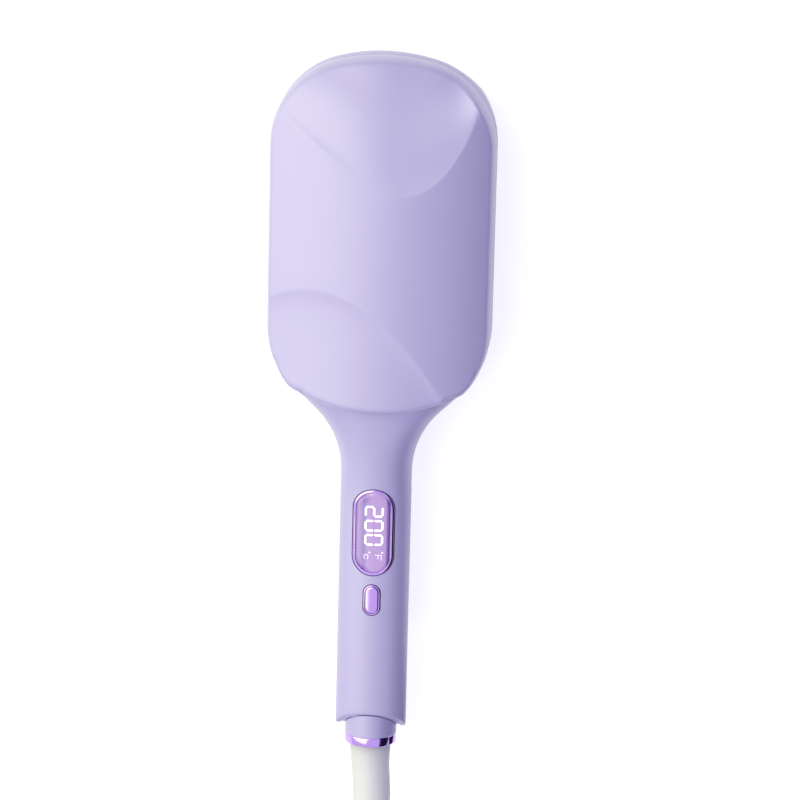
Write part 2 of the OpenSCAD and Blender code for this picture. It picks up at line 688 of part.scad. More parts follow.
// Loops of a plated frame with a bevelled edge, from its inner top edge round to its lower one
function frame_loops(y, w, l, ring, depth) = [
    laid_loop(w - 2 * ring, l - 2 * ring, y, bezel_proud),
    laid_loop(w - 2 * bezel_bevel, l - 2 * bezel_bevel, y, bezel_proud),
    laid_loop(w, l, y, 0),
    laid_loop(w, l, y, -depth)];

display_ring = 1.4;
display_depth = 3.6;
lens_t = 1.3;
lens_ledge = 0.8;
lens_up = 0.1;
frame_w = display_w - 2 * fit_gap;
frame_l = display_l - 2 * fit_gap;
seat_w = frame_w - 2 * display_ring;
seat_l = frame_l - 2 * display_ring;
// The display's frame, with a ledge that carries the lens
module display_bezel() {
    ledge_up = lens_up - lens_t - 0.05;
    color(PLATED) skin(concat(frame_loops(display_y, frame_w, frame_l, display_ring, display_depth), [
        laid_loop(seat_w - 2 * lens_ledge, seat_l - 2 * lens_ledge, display_y, -display_depth),
        laid_loop(seat_w - 2 * lens_ledge, seat_l - 2 * lens_ledge, display_y, ledge_up),
        laid_loop(seat_w, seat_l, display_y, ledge_up)]), []);
}
module display_lens() {
    w = seat_w - 0.1;
    l = seat_l - 0.1;
    steps = [0.35, 0.7, 1];
    color([0.55, 0.45, 0.85, 0.6]) skin(
        concat(
            [for (k = steps) laid_loop(k * w, k * l, display_y, lens_up)],
            [for (i = [2 : -1 : 0]) laid_loop(steps[i] * w, steps[i] * l, display_y, lens_up - lens_t)]),
        [on_handle(0, display_y, lens_up), on_handle(0, display_y, lens_up - lens_t)]);
}
// The figures' module, which stands on the circuit board
module_w = 14;
module_l = 26;
module_top = parting_z + 7.3;
module display_module() {
    low = pcb_z + pcb_t + 0.05;
    color("black") translate([-module_w / 2, display_y - module_l / 2, low])
        cube([module_w, module_l, module_top - low]);
}

button_ring = 0.85;
button_frame_w = button_w - 2 * fit_gap;
button_frame_l = button_l - 2 * fit_gap;
module button_bezel() {
    inner_w = button_frame_w - 2 * button_ring;
    inner_l = button_frame_l - 2 * button_ring;
    low = -3.7;
    color(PLATED) skin(concat(frame_loops(button_y, button_frame_w, button_frame_l, button_ring, -low),
        [laid_loop(inner_w, inner_l, button_y, low)]), []);
}
button_cap_w = button_frame_w - 2 * button_ring - 0.3;
button_cap_l = button_frame_l - 2 * button_ring - 0.3;
button_travel = 0.8;
switch_top = parting_z + 5.2;
// Share of the cap's size and height over the handle, from its middle out to its edge
BUTTON_DOME = [[0.4, 0.62], [0.75, 0.52], [0.93, 0.38], [1, 0.15]];
// The button: a crowned cap with its shank, and the flange that keeps it in
module power_button() {
    color(PLATED) {
        skin(
            concat(
                [for (d = BUTTON_DOME) laid_loop(d[0] * button_cap_w, d[0] * button_cap_l, button_y, d[1])],
                [flat_loop(button_cap_w, button_cap_l, button_y, switch_top)]),
            [on_handle(0, button_y, 0.65), [0, button_y, switch_top]]);
        translate([0, button_y, parting_z + 5.4]) stadium_prism(button_w - 0.2, button_l - 0.2, 0.9);
    }
}
pcb_z = parting_z + 1;
pcb_t = 1.2;
module main_pcb() {
    color(BOARD) translate([-11, -97, pcb_z]) cube([22, 53, pcb_t]);
}
module tact_switch() {
    color("gray") translate([0, button_y, pcb_z + pcb_t]) {
        translate([-3, -3, 0]) cube([6, 6, 1.9]);
        cylinder(h = switch_top - button_travel - pcb_z - pcb_t - 0.1, d = 3, $fn = 24);
    }
}

// Screws that hold the handle's halves, from below
module handle_screws() {
    color(STEEL) for (y = HANDLE_SCREW_YS)
        translate([0, y, parting_z - handle_screw_z]) screw(handle_screw_l);
}

// Two ears under the neck that carry the hinge pin, on a base in the neck
module hinge_bracket() {
    base_z = parting_z + 0.3 + floor_t + 0.05;
    color(STEEL) difference() {
        union() {
            translate([-12, hinge_y - 10, base_z]) cube([24, 20, 1.8]);
            for (s = [-1, 1]) translate([s * (ear_x + ear_t / 2) - ear_t / 2, hinge_y, hinge_z]) {
                translate([0, -ear_r, 0]) cube([ear_t, 2 * ear_r, base_z - hinge_z + 0.5]);
                rotate([0, 90, 0]) cylinder(h = ear_t, r = ear_r, $fn = 64);
            }
        }
        translate([-20, hinge_y, hinge_z]) rotate([0, 90, 0]) cylinder(h = 40, d = pin_d + 0.04, $fn = 48);
    }
}
cheek_x = ear_x + ear_t + 0.3;
cheek_t = 1.7;
cheek_r_out = 5.3;
module hinge_pin() {
    reach = cheek_x + cheek_t + 0.3;
    color(STEEL) translate([-reach, hinge_y, hinge_z]) rotate([0, 90, 0])
        cylinder(h = 2 * reach, d = pin_d, $fn = 48);
}
bush_d = 7.6;
bush_gap = 0.1;
module hinge_bushes() {
    color("peru") for (s = [-1, 1]) translate([s > 0 ? cheek_x : -cheek_x - cheek_t, hinge_y, hinge_z])
        rotate([0, 90, 0]) difference() {
            cylinder(h = cheek_t, d = bush_d, $fn = 48);
            translate([0, 0, -1]) cylinder(h = cheek_t + 2, d = pin_d + bush_gap, $fn = 48);
        }
}

// Tube of n sides and radius r along points, each ring square to the way on
function unit(v) = v / norm(v);
function ways(pts) = [for (i = [0 : len(pts) - 1])
    unit(pts[min(i + 1, len(pts) - 1)] - pts[max(i - 1, 0)])];
function tube_ring(p, way, side, r, n) = let (
    u = unit(side - way * (side * way)),
    v = cross(way, u))
    [for (k = [0 : n - 1]) p + r * (u * cos(360 * k / n) + v * sin(360 * k / n))];
module tube(pts, r, n, side) {
    dirs = ways(pts);
    rings = [for (i = [0 : len(pts) - 1]) tube_ring(pts[i], dirs[i], side, r, n)];
    m = len(pts);
    polyhedron(
        points = concat(flatten(rings), [pts[0], pts[m - 1]]),
        faces = concat(
            [for (i = [0 : m - 2], k = [0 : n - 1], half = [0, 1])
                let (a = i * n + k, b = i * n + (k + 1) % n, d = a + n, e = b + n)
                half == 0 ? [a, b, e] : [a, e, d]],
            [for (k = [0 : n - 1]) [m * n, (k + 1) % n, k]],
            [for (k = [0 : n - 1]) [m * n + 1, (m - 1) * n + k, (m - 1) * n + (k + 1) % n]]));
}

spring_r = 4.1;
wire_d = 1.3;
spring_w = 10;
// Return spring: turns round the pin, one leg up against the neck's floor, one down on the lever's frame
module return_spring() {
    steps = 8 * spring_turns + 4;
    coil = [for (i = [0 : steps]) let (a = 90 - 360 * i / 8, x = mix(-spring_w / 2, spring_w / 2, i / steps))
        [x, hinge_y + spring_r * cos(a), hinge_z + spring_r * sin(a)]];
    first = coil[0];
    last = coil[steps];
    leg_up = [[first[0], first[1] - 11, parting_z - 0.4], [first[0], first[1] - 4, first[2] + 1.2]];
    leg_down = [[last[0], last[1] - 4, last[2] - 0.2], [last[0], last[1] - 11, frame_z + frame_t + 0.7]];
    color(STEEL) tube(concat(leg_up, coil, leg_down), wire_d / 2, 6, [1, 0, 0]);
}

// Underside and top of the lever, as heights over the surface
function lever_under(y) = 6.4 * ease(y, -96, -30) + 3.9 * ease(y, -16, 4);
function lever_top_z(y) = let (
    s = max(0, hinge_y - y),
    rise = (parting_z - under_d(y) - 0.7 - hinge_z - s * sin(open_a)) / cos(open_a))
    min(parting_z - 0.3, hinge_z + rise);
lever_hw = lever_w / 2;
lever_round = 13;
function lever_half_w(y) = y > neck_y ? half_w(y) - mix(0.4, 1.1, ease(y, -12, 6)) - tuck(y)
    : y > lever_y + lever_round ? mix(lever_hw, nw - 0.4, ease(y, -62, neck_y))
    : lever_hw * sqrt(1 - pow((lever_y + lever_round - y) / (lever_round + 0.2), 2));
LEVER_YS = [heel_end[1], 12, 8, 4, 0, -6, -12, -18, -25, -31, -38, -45, -55, -70, -85, -95, -100, -104, -107,
    lever_y];
// Squareness of the lever's section, which passes into the neck's in the lower head
function lever_full(y) = mix(3.2, fullness(y), ease(y, -24, 2));
// The lever's inside is its outside drawn in along the tool by this share
lever_squash = (heel_end[1] - lever_y - shell_t) / (heel_end[1] - lever_y);
LEVER_SCREW_YS = [-14, -40];
frame_z = 9.6;
frame_t = 1.6;

// The lever's tray, open at the top and at the end that lies in the lower head
module lever_shell() {
    n = 8;
    function section(y, t) =
        half_section(lever_half_w(y) - t, lever_top_z(y) - lever_under(y) - t, lever_full(y), 0, n, 0);
    function rows(t, k) = [for (y = LEVER_YS) let (down = parting_z - lever_top_z(y))
        [for (p = section(y, t)) [p[0], heel_end[1] + (y - heel_end[1]) * k, down + p[2]]]];
    color(BODY) difference() {
        union() {
            translate([0, 0, parting_z]) mirror([0, 0, 1])
                half_shell(rows(0, 1), rows(shell_t, lever_squash));
            for (y = LEVER_SCREW_YS) translate([0, y, lever_under(y) + 0.4])
                cylinder(h = frame_z - 0.1 - lever_under(y) - 0.4, d = 9, $fn = 32);
        }
        for (y = LEVER_SCREW_YS) translate([0, y, 0]) {
            cylinder(h = 20, d = bore_d + 0.3, $fn = 24);
            cylinder(h = lever_under(y) + screw_head_h + 0.2, d = head_bore_d, $fn = 32);
        }
    }
}

// Lid of the lever's tray behind the hinge, following its top
lid_t = 1.6;
lid_y0 = -103;
lid_y1 = -45;
module lever_cover() {
    ys = [for (i = [0 : 12]) mix(lid_y0, lid_y1, i / 12)];
    top = [for (y = ys) [y, lever_top_z(y) - 0.3]];
    profile = concat(top, [for (i = [12 : -1 : 0]) top[i] - [0, lid_t]]);
    side = [for (y = ys) let (outer_y = heel_end[1] + (y - heel_end[1]) / lever_squash)
        [lever_half_w(outer_y) - shell_t - 0.6, y]];
    plan = concat(side, [for (i = [12 : -1 : 0]) [-side[i][0], side[i][1]]]);
    color(BODY) intersection() {
        translate([-60, 0, 0]) rotate([90, 0, 90]) linear_extrude(120) polygon(profile);
        linear_extrude(60) polygon(plan);
    }
}

// Frame in the lever's tray whose cheeks turn on the hinge pin
module lever_frame() {
    outer_x = cheek_x + cheek_t;
    knee_z = 12;
    foot_x = 8;
    color(HEAT_BLACK) difference() {
        union() {
            translate([-5, LEVER_SCREW_YS[1] - 5, frame_z])
                cube([10, LEVER_SCREW_YS[0] - LEVER_SCREW_YS[1] + 8.5, frame_t]);
            along(hinge_y - 6, hinge_y + 6) polygon([[-foot_x, frame_z], [foot_x, frame_z],
                [outer_x, knee_z], [outer_x, hinge_z], [cheek_x, hinge_z], [cheek_x, knee_z],
                [foot_x - 0.8, frame_z + frame_t], [0.8 - foot_x, frame_z + frame_t],
                [-cheek_x, knee_z], [-cheek_x, hinge_z], [-outer_x, hinge_z], [-outer_x, knee_z]]);
            for (s = [-1, 1]) translate([s > 0 ? cheek_x : -outer_x, hinge_y, hinge_z])
                rotate([0, 90, 0]) cylinder(h = cheek_t, r = cheek_r_out, $fn = 48);
        }
        translate([-20, hinge_y, hinge_z]) rotate([0, 90, 0]) cylinder(h = 40, d = bush_d + 0.04, $fn = 48);
        for (y = LEVER_SCREW_YS) translate([0, y, 0]) cylinder(h = 30, d = bore_d, $fn = 24);
    }
}
module lever_screws() {
    color(STEEL) for (y = LEVER_SCREW_YS) translate([0, y, lever_under(y) + 0.1])
        screw(frame_z + frame_t + 1 - lever_under(y));
}

// Turns a body drawn up from z = 0 so that it runs from the tail's axis at y towards the tip
module on_tail(y) {
    translate([0, y, axis_z]) rotate([-90, 0, 0]) children();
}
ring_bore = 19.4;
core_d = 16;
core_gap = 0.05;
collar_in_y = -140;
// Section of the tail's inside
module tail_inside(t) {
    n = 12;
    top = half_section(nw - t, handle_top - t, 2, 0, n, 0);
    low = half_section(nw - t, tail_low - t, 2.4, 0, n, 0);
    polygon(concat([for (p = top) [p[0], p[2]]], [for (i = [2 * n - 1 : -1 : 1]) [low[i][0], -low[i][2]]]));
}
// Side view of what lies behind the tail's slanted end, moved by d
module behind_end(d) {
    far_z = 20;
    translate([-30, 0, parting_z]) rotate([90, 0, 90]) linear_extrude(60) polygon([
        [-200, -far_z], [tail_y + d + tail_slant * far_z / tail_low, -far_z], [tail_y + d, 0],
        [tail_y + d + tail_slant * far_z / handle_top, far_z], [-200, far_z]]);
}
// The collar and the slanted wall that closes the tail round it
module tail_collar() {
    color(BODY) difference() {
        union() {
            intersection() {
                on_tail(ring_y + ring_l) cylinder(h = 20, d = collar_d, $fn = 96);
                behind_end(-0.2);
            }
            intersection() {
                translate([0, 0, parting_z]) along(tail_y - 2, -130) tail_inside(shell_t + 0.1);
                difference() {
                    behind_end(2.3);
                    behind_end(0.3);
                }
            }
            on_tail(ring_y + ring_l) cylinder(h = collar_in_y - ring_y - ring_l, d = ring_bore, $fn = 96);
        }
        on_tail(ring_y - 1) cylinder(h = 60, d = core_d, $fn = 96);
    }
}
module collar_ring() {
    color(PLATED) on_tail(ring_y) difference() {
        cylinder(h = ring_l - 0.05, d = collar_d, $fn = 96);
        translate([0, 0, -1]) cylinder(h = ring_l + 2, d = ring_bore, $fn = 96);
    }
}
spigot_hole = 7;
// The turning core of the cord swivel, with its outer flange in the end ring
module swivel_spigot() {
    color(HEAT_BLACK) difference() {
        union() {
            on_tail(ring_y) cylinder(h = ring_l - 0.3, d = boot_d, $fn = 64);
            on_tail(ring_y) cylinder(h = collar_in_y - ring_y + 3.5, d = core_d - 2 * core_gap, $fn = 96);
        }
        on_tail(ring_y - 1) cylinder(h = 60, d = spigot_hole, $fn = 48);
    }
}
// The clip that keeps the spigot in, with its contact track
module swivel_keeper() {
    color("goldenrod") on_tail(collar_in_y + 0.4) difference() {
        cylinder(h = 2.6, d = 18.2, $fn = 64);
        translate([0, 0, -1]) cylinder(h = 5, d = core_d - 2 * core_gap + 0.04, $fn = 96);
    }
}
boot_end_r = 4;
// Strain relief: a short taper out of the ring, a straight stretch and a soft neck down to the cord
module strain_relief() {
    taper = 12;
    straight = 31;
    r0 = boot_d / 2;
    r1 = r0 - 0.7;
    profile = concat([[0, 0], [r0 - 0.6, 0], [r0, -0.6]],
        [for (i = [1 : 4]) [mix(r0, r1, ease(i, 0, 4)), -mix(0.6, taper, i / 4)]],
        [for (i = [0 : 8]) [mix(r1, boot_end_r, ease(i, 0, 8)), -mix(straight, boot_l, i / 8)]],
        [[0, -boot_l]]);
    color(CORD_WHITE) on_tail(ring_y - 0.05) rotate_extrude($fn = 64) polygon(profile);
}

// The cord's route to the coil, on hand-set points from where it leaves the strain relief
cord_r = cord_d / 2;
exit_y = ring_y - 0.1 - boot_l;
strap_t = 0.5;
lie_z = cord_r + strap_t + 0.1;
LEAD = [[0, 0, 25.5], [0, -4, 25.5], [0, -8, 25.4], [0, -14.5, 24.8], [0, -20.7, 22.7], [0, -26.3, 19.3],
    [0, -31, 14.8], [0, -35.7, 10], [0, -41.3, 6.6], [0, -47.5, 4.3], [0, -52, lie_z]];
coil_start = -64;
// The coil spirals in on the floor, climbs in the half turn round its middle and spirals out on top
layer_loops = coil_loops / 2;
turn_back = layer_loops + 0.25;
coil_out_r = coil_in_r + coil_pitch * turn_back;
coil_c = [-coil_out_r, exit_y + coil_start];
layer_up = 6.5;
rings_per_loop = 24;
function coil_point(turn) = let (
    r = coil_in_r + coil_pitch * abs(turn - turn_back),
    z = lie_z + layer_up * ease(turn, layer_loops, layer_loops + 0.5),
    a = -360 * turn)
    [coil_c[0] + r * cos(a), coil_c[1] + r * sin(a), z];
COIL = [for (i = [0 : coil_loops * rings_per_loop]) coil_point(i / rings_per_loop)];
coil_end = COIL[len(COIL) - 1];
COIL_IN = COIL[0] + [0, cord_d, 0];
plug_z = 7;
// From the coil down to the plug, as steps from the coil's end
TAIL_STEPS = [[0, -6, 0], [0, -12, -0.3], [0, -18, -0.9], [0, -26, -2], [0, -34, -2.9],
    [0, -40, plug_z - coil_end[2]], [0, -46, plug_z - coil_end[2]]];
// The coil's least gap to itself, measured between its points that are half a turn or more apart
near_pairs = [for (i = [0 : 3 : len(COIL) - 1], j = [i + rings_per_loop / 2 : len(COIL) - 1])
    norm(COIL[i] - COIL[j])];
echo(coil_least_gap = min(near_pairs) - cord_d);

module cord_lead() {
    color(CORD_WHITE) tube(concat([for (p = LEAD) p + [0, exit_y, 0]], [COIL_IN]), cord_r, 8, [1, 0, 0]);
}
module cord_coil() {
    route = concat([COIL_IN], COIL, [for (p = TAIL_STEPS) coil_end + p]);
    color(CORD_WHITE) tube(route, cord_r, 6, [0, 0, 1]);
}

// A rounded rectangle between two corners
module rounded(x0, z0, x1, z1, r) {
    for (x = [x0 + r, x1 - r], z = [z0 + r, z1 - r]) translate([x, z]) circle(r, $fn = 32);
    translate([x0 + r, z0]) square([x1 - x0 - 2 * r, z1 - z0]);
    translate([x0, z0 + r]) square([x1 - x0, z1 - z0 - 2 * r]);
}
// The strap round both layers of the coil
module cord_tie() {
    t = strap_t;
    x0 = coil_c[0] - coil_out_r - cord_r;
    x1 = coil_c[0] - coil_in_r + cord_r;
    top = lie_z + layer_up + cord_r + 0.1 + t;
    color("white") along(coil_c[1] - 5, coil_c[1] + 5) difference() {
        rounded(x0 - t, 0, x1 + t, top, 3);
        rounded(x0, t, x1, top - t, 3 - t);
    }
}

// The plug, drawn from its cord end at y = 0 towards its pins at -y
plug_y = coil_end[1] - 46;
plug_w = 34;
plug_t = 14;
plug_l = 32;
plug_neck = 10;
pin_root_d = 3.4;
module on_plug() {
    translate([coil_end[0], plug_y, plug_z]) children();
}
module plug_body() {
    w = plug_w / 2;
    color(CORD_WHITE) on_plug() difference() {
        union() {
            rotate([90, 0, 0]) cylinder(h = plug_neck + 2, r1 = cord_r + 0.9, r2 = 6, $fn = 48);
            translate([0, -plug_neck, -plug_t / 2]) linear_extrude(plug_t) polygon([[-7, 0], [7, 0],
                [w - 2, -10], [w, -14], [w, -plug_l], [-w, -plug_l], [-w, -14], [-w + 2, -10]]);
        }
        for (s = [-1, 1]) translate([s * plug_pin_gap / 2, -plug_neck - plug_l + 8, 0]) rotate([90, 0, 0])
            cylinder(h = 10, d = pin_root_d + 0.04, $fn = 48);
    }
}
plug_pin_l = 19;
pin_tip_l = 0.9;
module plug_pins() {
    color(STEEL) on_plug() for (s = [-1, 1])
        translate([s * plug_pin_gap / 2, -plug_neck - plug_l - 0.05, 0]) rotate([90, 0, 0]) {
            translate([0, 0, -7.5]) cylinder(h = 8, d = pin_root_d, $fn = 48);
            cylinder(h = plug_pin_l - pin_tip_l - 0.05, d = plug_pin_d, $fn = 48);
            translate([0, 0, plug_pin_l - pin_tip_l - 0.05])
                cylinder(h = pin_tip_l, d1 = plug_pin_d, d2 = plug_pin_d - 1.6, $fn = 48);
        }
}

upper_head_cover();
lower_head_cover();
handle_upper_shell();
handle_lower_shell();
upper_plate();
lower_plate();
upper_carrier();
lower_carrier();
upper_heater();
lower_heaters();
upper_heater_clamp();
lower_heater_clamps();
thermal_cutout();
thermostat();
carrier_screws();
lower_carrier_screws();
display_bezel();
display_lens();
display_module();
button_bezel();
power_button();
tact_switch();
main_pcb();
handle_screws();
hinge_bracket();
hinge_pin();
hinge_bushes();
return_spring();
lever_shell();
lever_cover();
lever_frame();
lever_screws();
tail_collar();
collar_ring();
swivel_spigot();
swivel_keeper();
strain_relief();
cord_lead();
cord_coil();
cord_tie();
plug_body();
plug_pins();
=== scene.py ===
"""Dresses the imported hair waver: heads, handle, display, button, lever, tail, cord and studio.

Sizes in the shape functions are in millimetres, as in the part's source, and are turned into
metres where a mesh is made.
"""

import math

import bmesh
import bpy
from mathutils import Matrix, Vector

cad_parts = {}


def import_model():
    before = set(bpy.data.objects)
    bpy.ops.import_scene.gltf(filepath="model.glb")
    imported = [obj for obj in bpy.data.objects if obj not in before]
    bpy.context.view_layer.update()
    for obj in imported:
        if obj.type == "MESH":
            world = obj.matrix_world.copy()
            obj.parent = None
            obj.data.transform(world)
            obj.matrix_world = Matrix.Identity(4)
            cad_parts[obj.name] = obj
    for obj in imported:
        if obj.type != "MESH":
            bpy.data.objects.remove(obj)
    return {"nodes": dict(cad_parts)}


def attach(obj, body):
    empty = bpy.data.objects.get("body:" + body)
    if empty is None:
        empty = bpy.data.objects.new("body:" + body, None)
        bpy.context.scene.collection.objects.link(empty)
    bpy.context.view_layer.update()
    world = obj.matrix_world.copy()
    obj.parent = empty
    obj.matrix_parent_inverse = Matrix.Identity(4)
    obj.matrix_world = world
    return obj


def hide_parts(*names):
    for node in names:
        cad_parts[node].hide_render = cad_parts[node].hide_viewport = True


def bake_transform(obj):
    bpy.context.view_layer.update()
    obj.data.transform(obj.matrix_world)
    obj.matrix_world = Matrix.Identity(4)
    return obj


bl_info = {
    "name": "Hair waver",
    "version": (1, 0, 0),
    "blender": (4, 5, 0),
    "location": "View3D > Sidebar > Waver",
    "description": "Builds a hair waver's visible pieces, finishes and studio around its packed frame",
    "category": "Object",
}

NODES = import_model()["nodes"]
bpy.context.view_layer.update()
MM = 0.001

# Overall
TIP_Y = 160.4
PARTING = 27.0
PART_GAP = 0.15
# Heads
HALF_W = 50.0
TIP_R = 84.0
CORNER_R = 38.4
HEEL_Y = 38.0
HEEL_R = 43.6
HEEL_TURN = 30.0
CHEEK_R = 14.0
SMILE_R = 90.0
CROWN_H = 28.0
CROWN_R = 96.0
RIM_W = 1.8
WALL_H = 6.0
LIP_R = 2.5
COVER_T = 2.2
NECK_SEAT = 0.3
HEAD_MID_Y = 80.0
# Sculpted creases
FRONT_X = 11.0
FRONT_Y = 102.2
FRONT_ARM_W = 40.0
FRONT_ARM_D = 94.0
FRONT_SLOPE = 0.8
FRONT_BEND = 14.2
FRONT_FALL = 0.12
FRONT_LIP = 0.6
LEFT_LIP = 1.05
LEFT_W = 7.0
ARM_LEAN = 1.6
BROW_W = 42.0
BROW_D = 9.0
CREASE_BLUR = 3.0
REAR_X = -28.0
REAR_Y = 57.5
REAR_FALL = 0.0143
REAR_DEPTH = 1.6
REAR_FADE = 7.0
# Handle, lever and tail
HANDLE_HW = 16.1
HANDLE_TOP = 10.5
HANDLE_LOW = 6.0
TAIL_LOW = 14.6
NECK_TOP = 17.5
NECK_R = 40.7
NECK_A = 46.4
TAIL_Y = -152.0
TAIL_SLANT = 7.3
SHELL_T = 2.1
SCREW_HEAD_R = 2.9
TUCK = 2.3
HINGE_Y = -25.6
HINGE_Z = 17.0
EAR_X = 7.45
SPRING_TURNS = 5
SPRING_WIRE = 1.3
OPEN_A = 10.0
LEVER_Y = -108.0
LEVER_HW = 13.5
LEVER_ROUND = 13.0
LEVER_SCREW_YS = (-14.0, -40.0)
HANDLE_SCREW_YS = (-102.0, -132.0)
AXIS_Z = 25.5
RING_Y = -160.4
RING_L = 4.4
COLLAR_R = 11.75
# Display and button
DISPLAY_Y = -57.2
DISPLAY_W = 19.4
DISPLAY_L = 41.4
BUTTON_Y = -89.2
BUTTON_W = 8.3
BUTTON_L = 15.1
BEZEL_RING = 1.4
BUTTON_RING = 0.85
# Width, depth and height of the dark strip round the display's and the button's frames, which paints the shadow
# in the gap
GAP_SHADOW_W = 0.25
GAP_SHADOW_DEPTH = 1.0
GAP_SHADOW_UP = -0.04
FIT_GAP = 0.15
FIGURE_W = 5.4
FIGURE_PITCH = 6.65
FIGURES_BACK = 12.65
FIGURE_MID = 0.31
FIGURE_UP = 0.14
FIGURE_STROKE = 0.9
FIGURE_GAP = 0.17
SIGNS_ON = 9.4
SIGN_STROKE = 0.3
# Cord
CORD_R = 3.0
BOOT_L = 60.0
LIE_Z = 3.6
LEAD = ((0, 25.5), (-4, 25.5), (-8, 25.4), (-14.5, 24.8), (-20.7, 22.7), (-26.3, 19.3), (-31, 14.8),
        (-35.7, 10), (-41.3, 6.6), (-47.5, 4.3), (-52, LIE_Z))
COIL_START = -64.0
COIL_LOOPS = 8
COIL_PITCH = 6.6
COIL_IN_R = 21.0
LAYER_UP = 6.5
PLUG_Z = 7.0
COIL_STEPS = 24
SOFT_ANGLE = 38.0
EXIT_Y = RING_Y - 0.1 - BOOT_L

# Camera, worked out from the photograph's outline
VIEW_LEAN = 15.5
VIEW_SIDE = 4.5
VIEW_ROLL = -1.37
VIEW_DISTANCE = 2.0
VIEW_AIM = (0.0, 4.3, 23.0)
VIEW_WIDTH = 0.36064
FRAME_PX = 800.0
AIM_PX = (379.0, 392.9)


# ---------------------------------------------------------------- shape functions
def mix(a, b, t):
    return a + (b - a) * t


def clip(v, low, high):
    return min(high, max(low, v))


def ease(v, a, b):
    t = clip((v - a) / (b - a), 0.0, 1.0)
    return t * t * (3 - 2 * t)


def root(v):
    return math.sqrt(max(0.0, v))


def cos_d(a):
    return math.cos(math.radians(a))


def sin_d(a):
    return math.sin(math.radians(a))


TIP_C = TIP_Y - TIP_R
CORNER_X = HALF_W - CORNER_R
CORNER_Y = TIP_C + root((TIP_R - CORNER_R) ** 2 - CORNER_X**2)
TIP_X = TIP_R * CORNER_X / (TIP_R - CORNER_R)
HEEL_X = HALF_W - HEEL_R
HEEL_END = (HEEL_X + HEEL_R * cos_d(HEEL_TURN), HEEL_Y - HEEL_R * sin_d(HEEL_TURN))
CHEEK_X = HEEL_END[0] - CHEEK_R * cos_d(HEEL_TURN)
CHEEK_Y = HEEL_END[1] + CHEEK_R * sin_d(HEEL_TURN)
SMILE_COS = CHEEK_X / (SMILE_R - CHEEK_R)
SMILE_Y = CHEEK_Y + (SMILE_R - CHEEK_R) * root(1 - SMILE_COS**2)
SMILE_X = SMILE_R * SMILE_COS


def front_edge(x):
    x = abs(x)
    if x < TIP_X:
        return TIP_C + root(TIP_R**2 - x * x)
    return CORNER_Y + root(CORNER_R**2 - (x - CORNER_X) ** 2)


def rear_edge(x):
    x = abs(x)
    if x < SMILE_X:
        return SMILE_Y - root(SMILE_R**2 - x * x)
    if x < HEEL_END[0]:
        return CHEEK_Y - root(CHEEK_R**2 - (x - CHEEK_X) ** 2)
    return HEEL_Y - root(HEEL_R**2 - (x - HEEL_X) ** 2)


def rim_far(x, y):
    """Distance inwards from the head's rounded rim."""
    x = abs(x)
    far = min(HALF_W - x, TIP_R - math.hypot(x, y - TIP_C))
    if x > CORNER_X and y > CORNER_Y and x * (CORNER_Y - TIP_C) > CORNER_X * (y - TIP_C):
        far = min(far, CORNER_R - math.hypot(x - CORNER_X, y - CORNER_Y))
    if x > HEEL_X and y < HEEL_Y:
        far = min(far, HEEL_R - math.hypot(x - HEEL_X, y - HEEL_Y))
    return far


def smile_far(x, y):
    """Distance inwards from the cover's lower edge across the neck."""
    x = abs(x)
    far = SMILE_R - math.hypot(x, y - SMILE_Y)
    if x > CHEEK_X and y < CHEEK_Y:
        far = min(far, CHEEK_R - math.hypot(x - CHEEK_X, y - CHEEK_Y))
    return far


def roundness(far, width):
    """Share of the height that a rounded edge leaves at a distance far inside it."""
    return 1.0 if far >= width else root(1 - (1 - max(0.0, far) / width) ** 2)


def front_crease(x):
    u = x - FRONT_X
    if u > 0:
        return FRONT_Y + FRONT_ARM_D * (1 - root(1 - (u / FRONT_ARM_W) ** 2))
    return FRONT_Y + FRONT_SLOPE * (math.hypot(u, FRONT_BEND) - FRONT_BEND)


def rear_crease(x):
    return REAR_Y - REAR_FALL * (x - REAR_X) ** 2


def crown(x):
    return CROWN_H - CROWN_R + root(CROWN_R**2 - x * x)


SLANT_TOP = (HEEL_X + HEEL_R * cos_d(NECK_A), HEEL_Y - HEEL_R * sin_d(NECK_A))
SLANT_X = HANDLE_HW + NECK_R * (1 - cos_d(NECK_A))
SLANT_Y = SLANT_TOP[1] - (SLANT_TOP[0] - SLANT_X) / math.tan(math.radians(NECK_A))
NECK_Y = SLANT_Y - NECK_R * sin_d(NECK_A)


def tuck(y):
    """How far the neck and the lever draw in inside the head covers."""
    return TUCK * ease(y, 8, 15)


def half_w(y):
    if y >= SLANT_TOP[1]:
        return HEEL_X + root(HEEL_R**2 - (HEEL_Y - y) ** 2)
    if y >= SLANT_Y:
        return mix(SLANT_X, SLANT_TOP[0], (y - SLANT_Y) / (SLANT_TOP[1] - SLANT_Y))
    if y >= NECK_Y:
        return HANDLE_HW + NECK_R - root(NECK_R**2 - (y - NECK_Y) ** 2)
    return HANDLE_HW


def fullness(y):
    return mix(2.0, 2.6, ease(y, -45, 10))


def neck_h(y):
    return mix(HANDLE_TOP, NECK_TOP, ease(y, -52, 12))


def neck_surface(x, y):
    p = fullness(y)
    return neck_h(y) * max(0.0, 1 - min(1.0, abs(x) / half_w(y)) ** p) ** (1 / p)


def under_d(y):
    """Depth of the handle's underside below the parting line."""
    return HANDLE_LOW * ease(-y, 12 - HINGE_Y, 58) + (TAIL_LOW - HANDLE_LOW) * ease(-y, 113, 138)


def lever_under(y):
    return 6.4 * ease(y, -96, -30) + 3.9 * ease(y, -16, 4)


def lever_full(y):
    return mix(3.2, fullness(y), ease(y, -24, 2))


def lever_top_z(y):
    s = max(0.0, HINGE_Y - y)
    rise = (PARTING - under_d(y) - 0.7 - HINGE_Z - s * sin_d(OPEN_A)) / cos_d(OPEN_A)
    return min(PARTING - 0.3, HINGE_Z + rise)


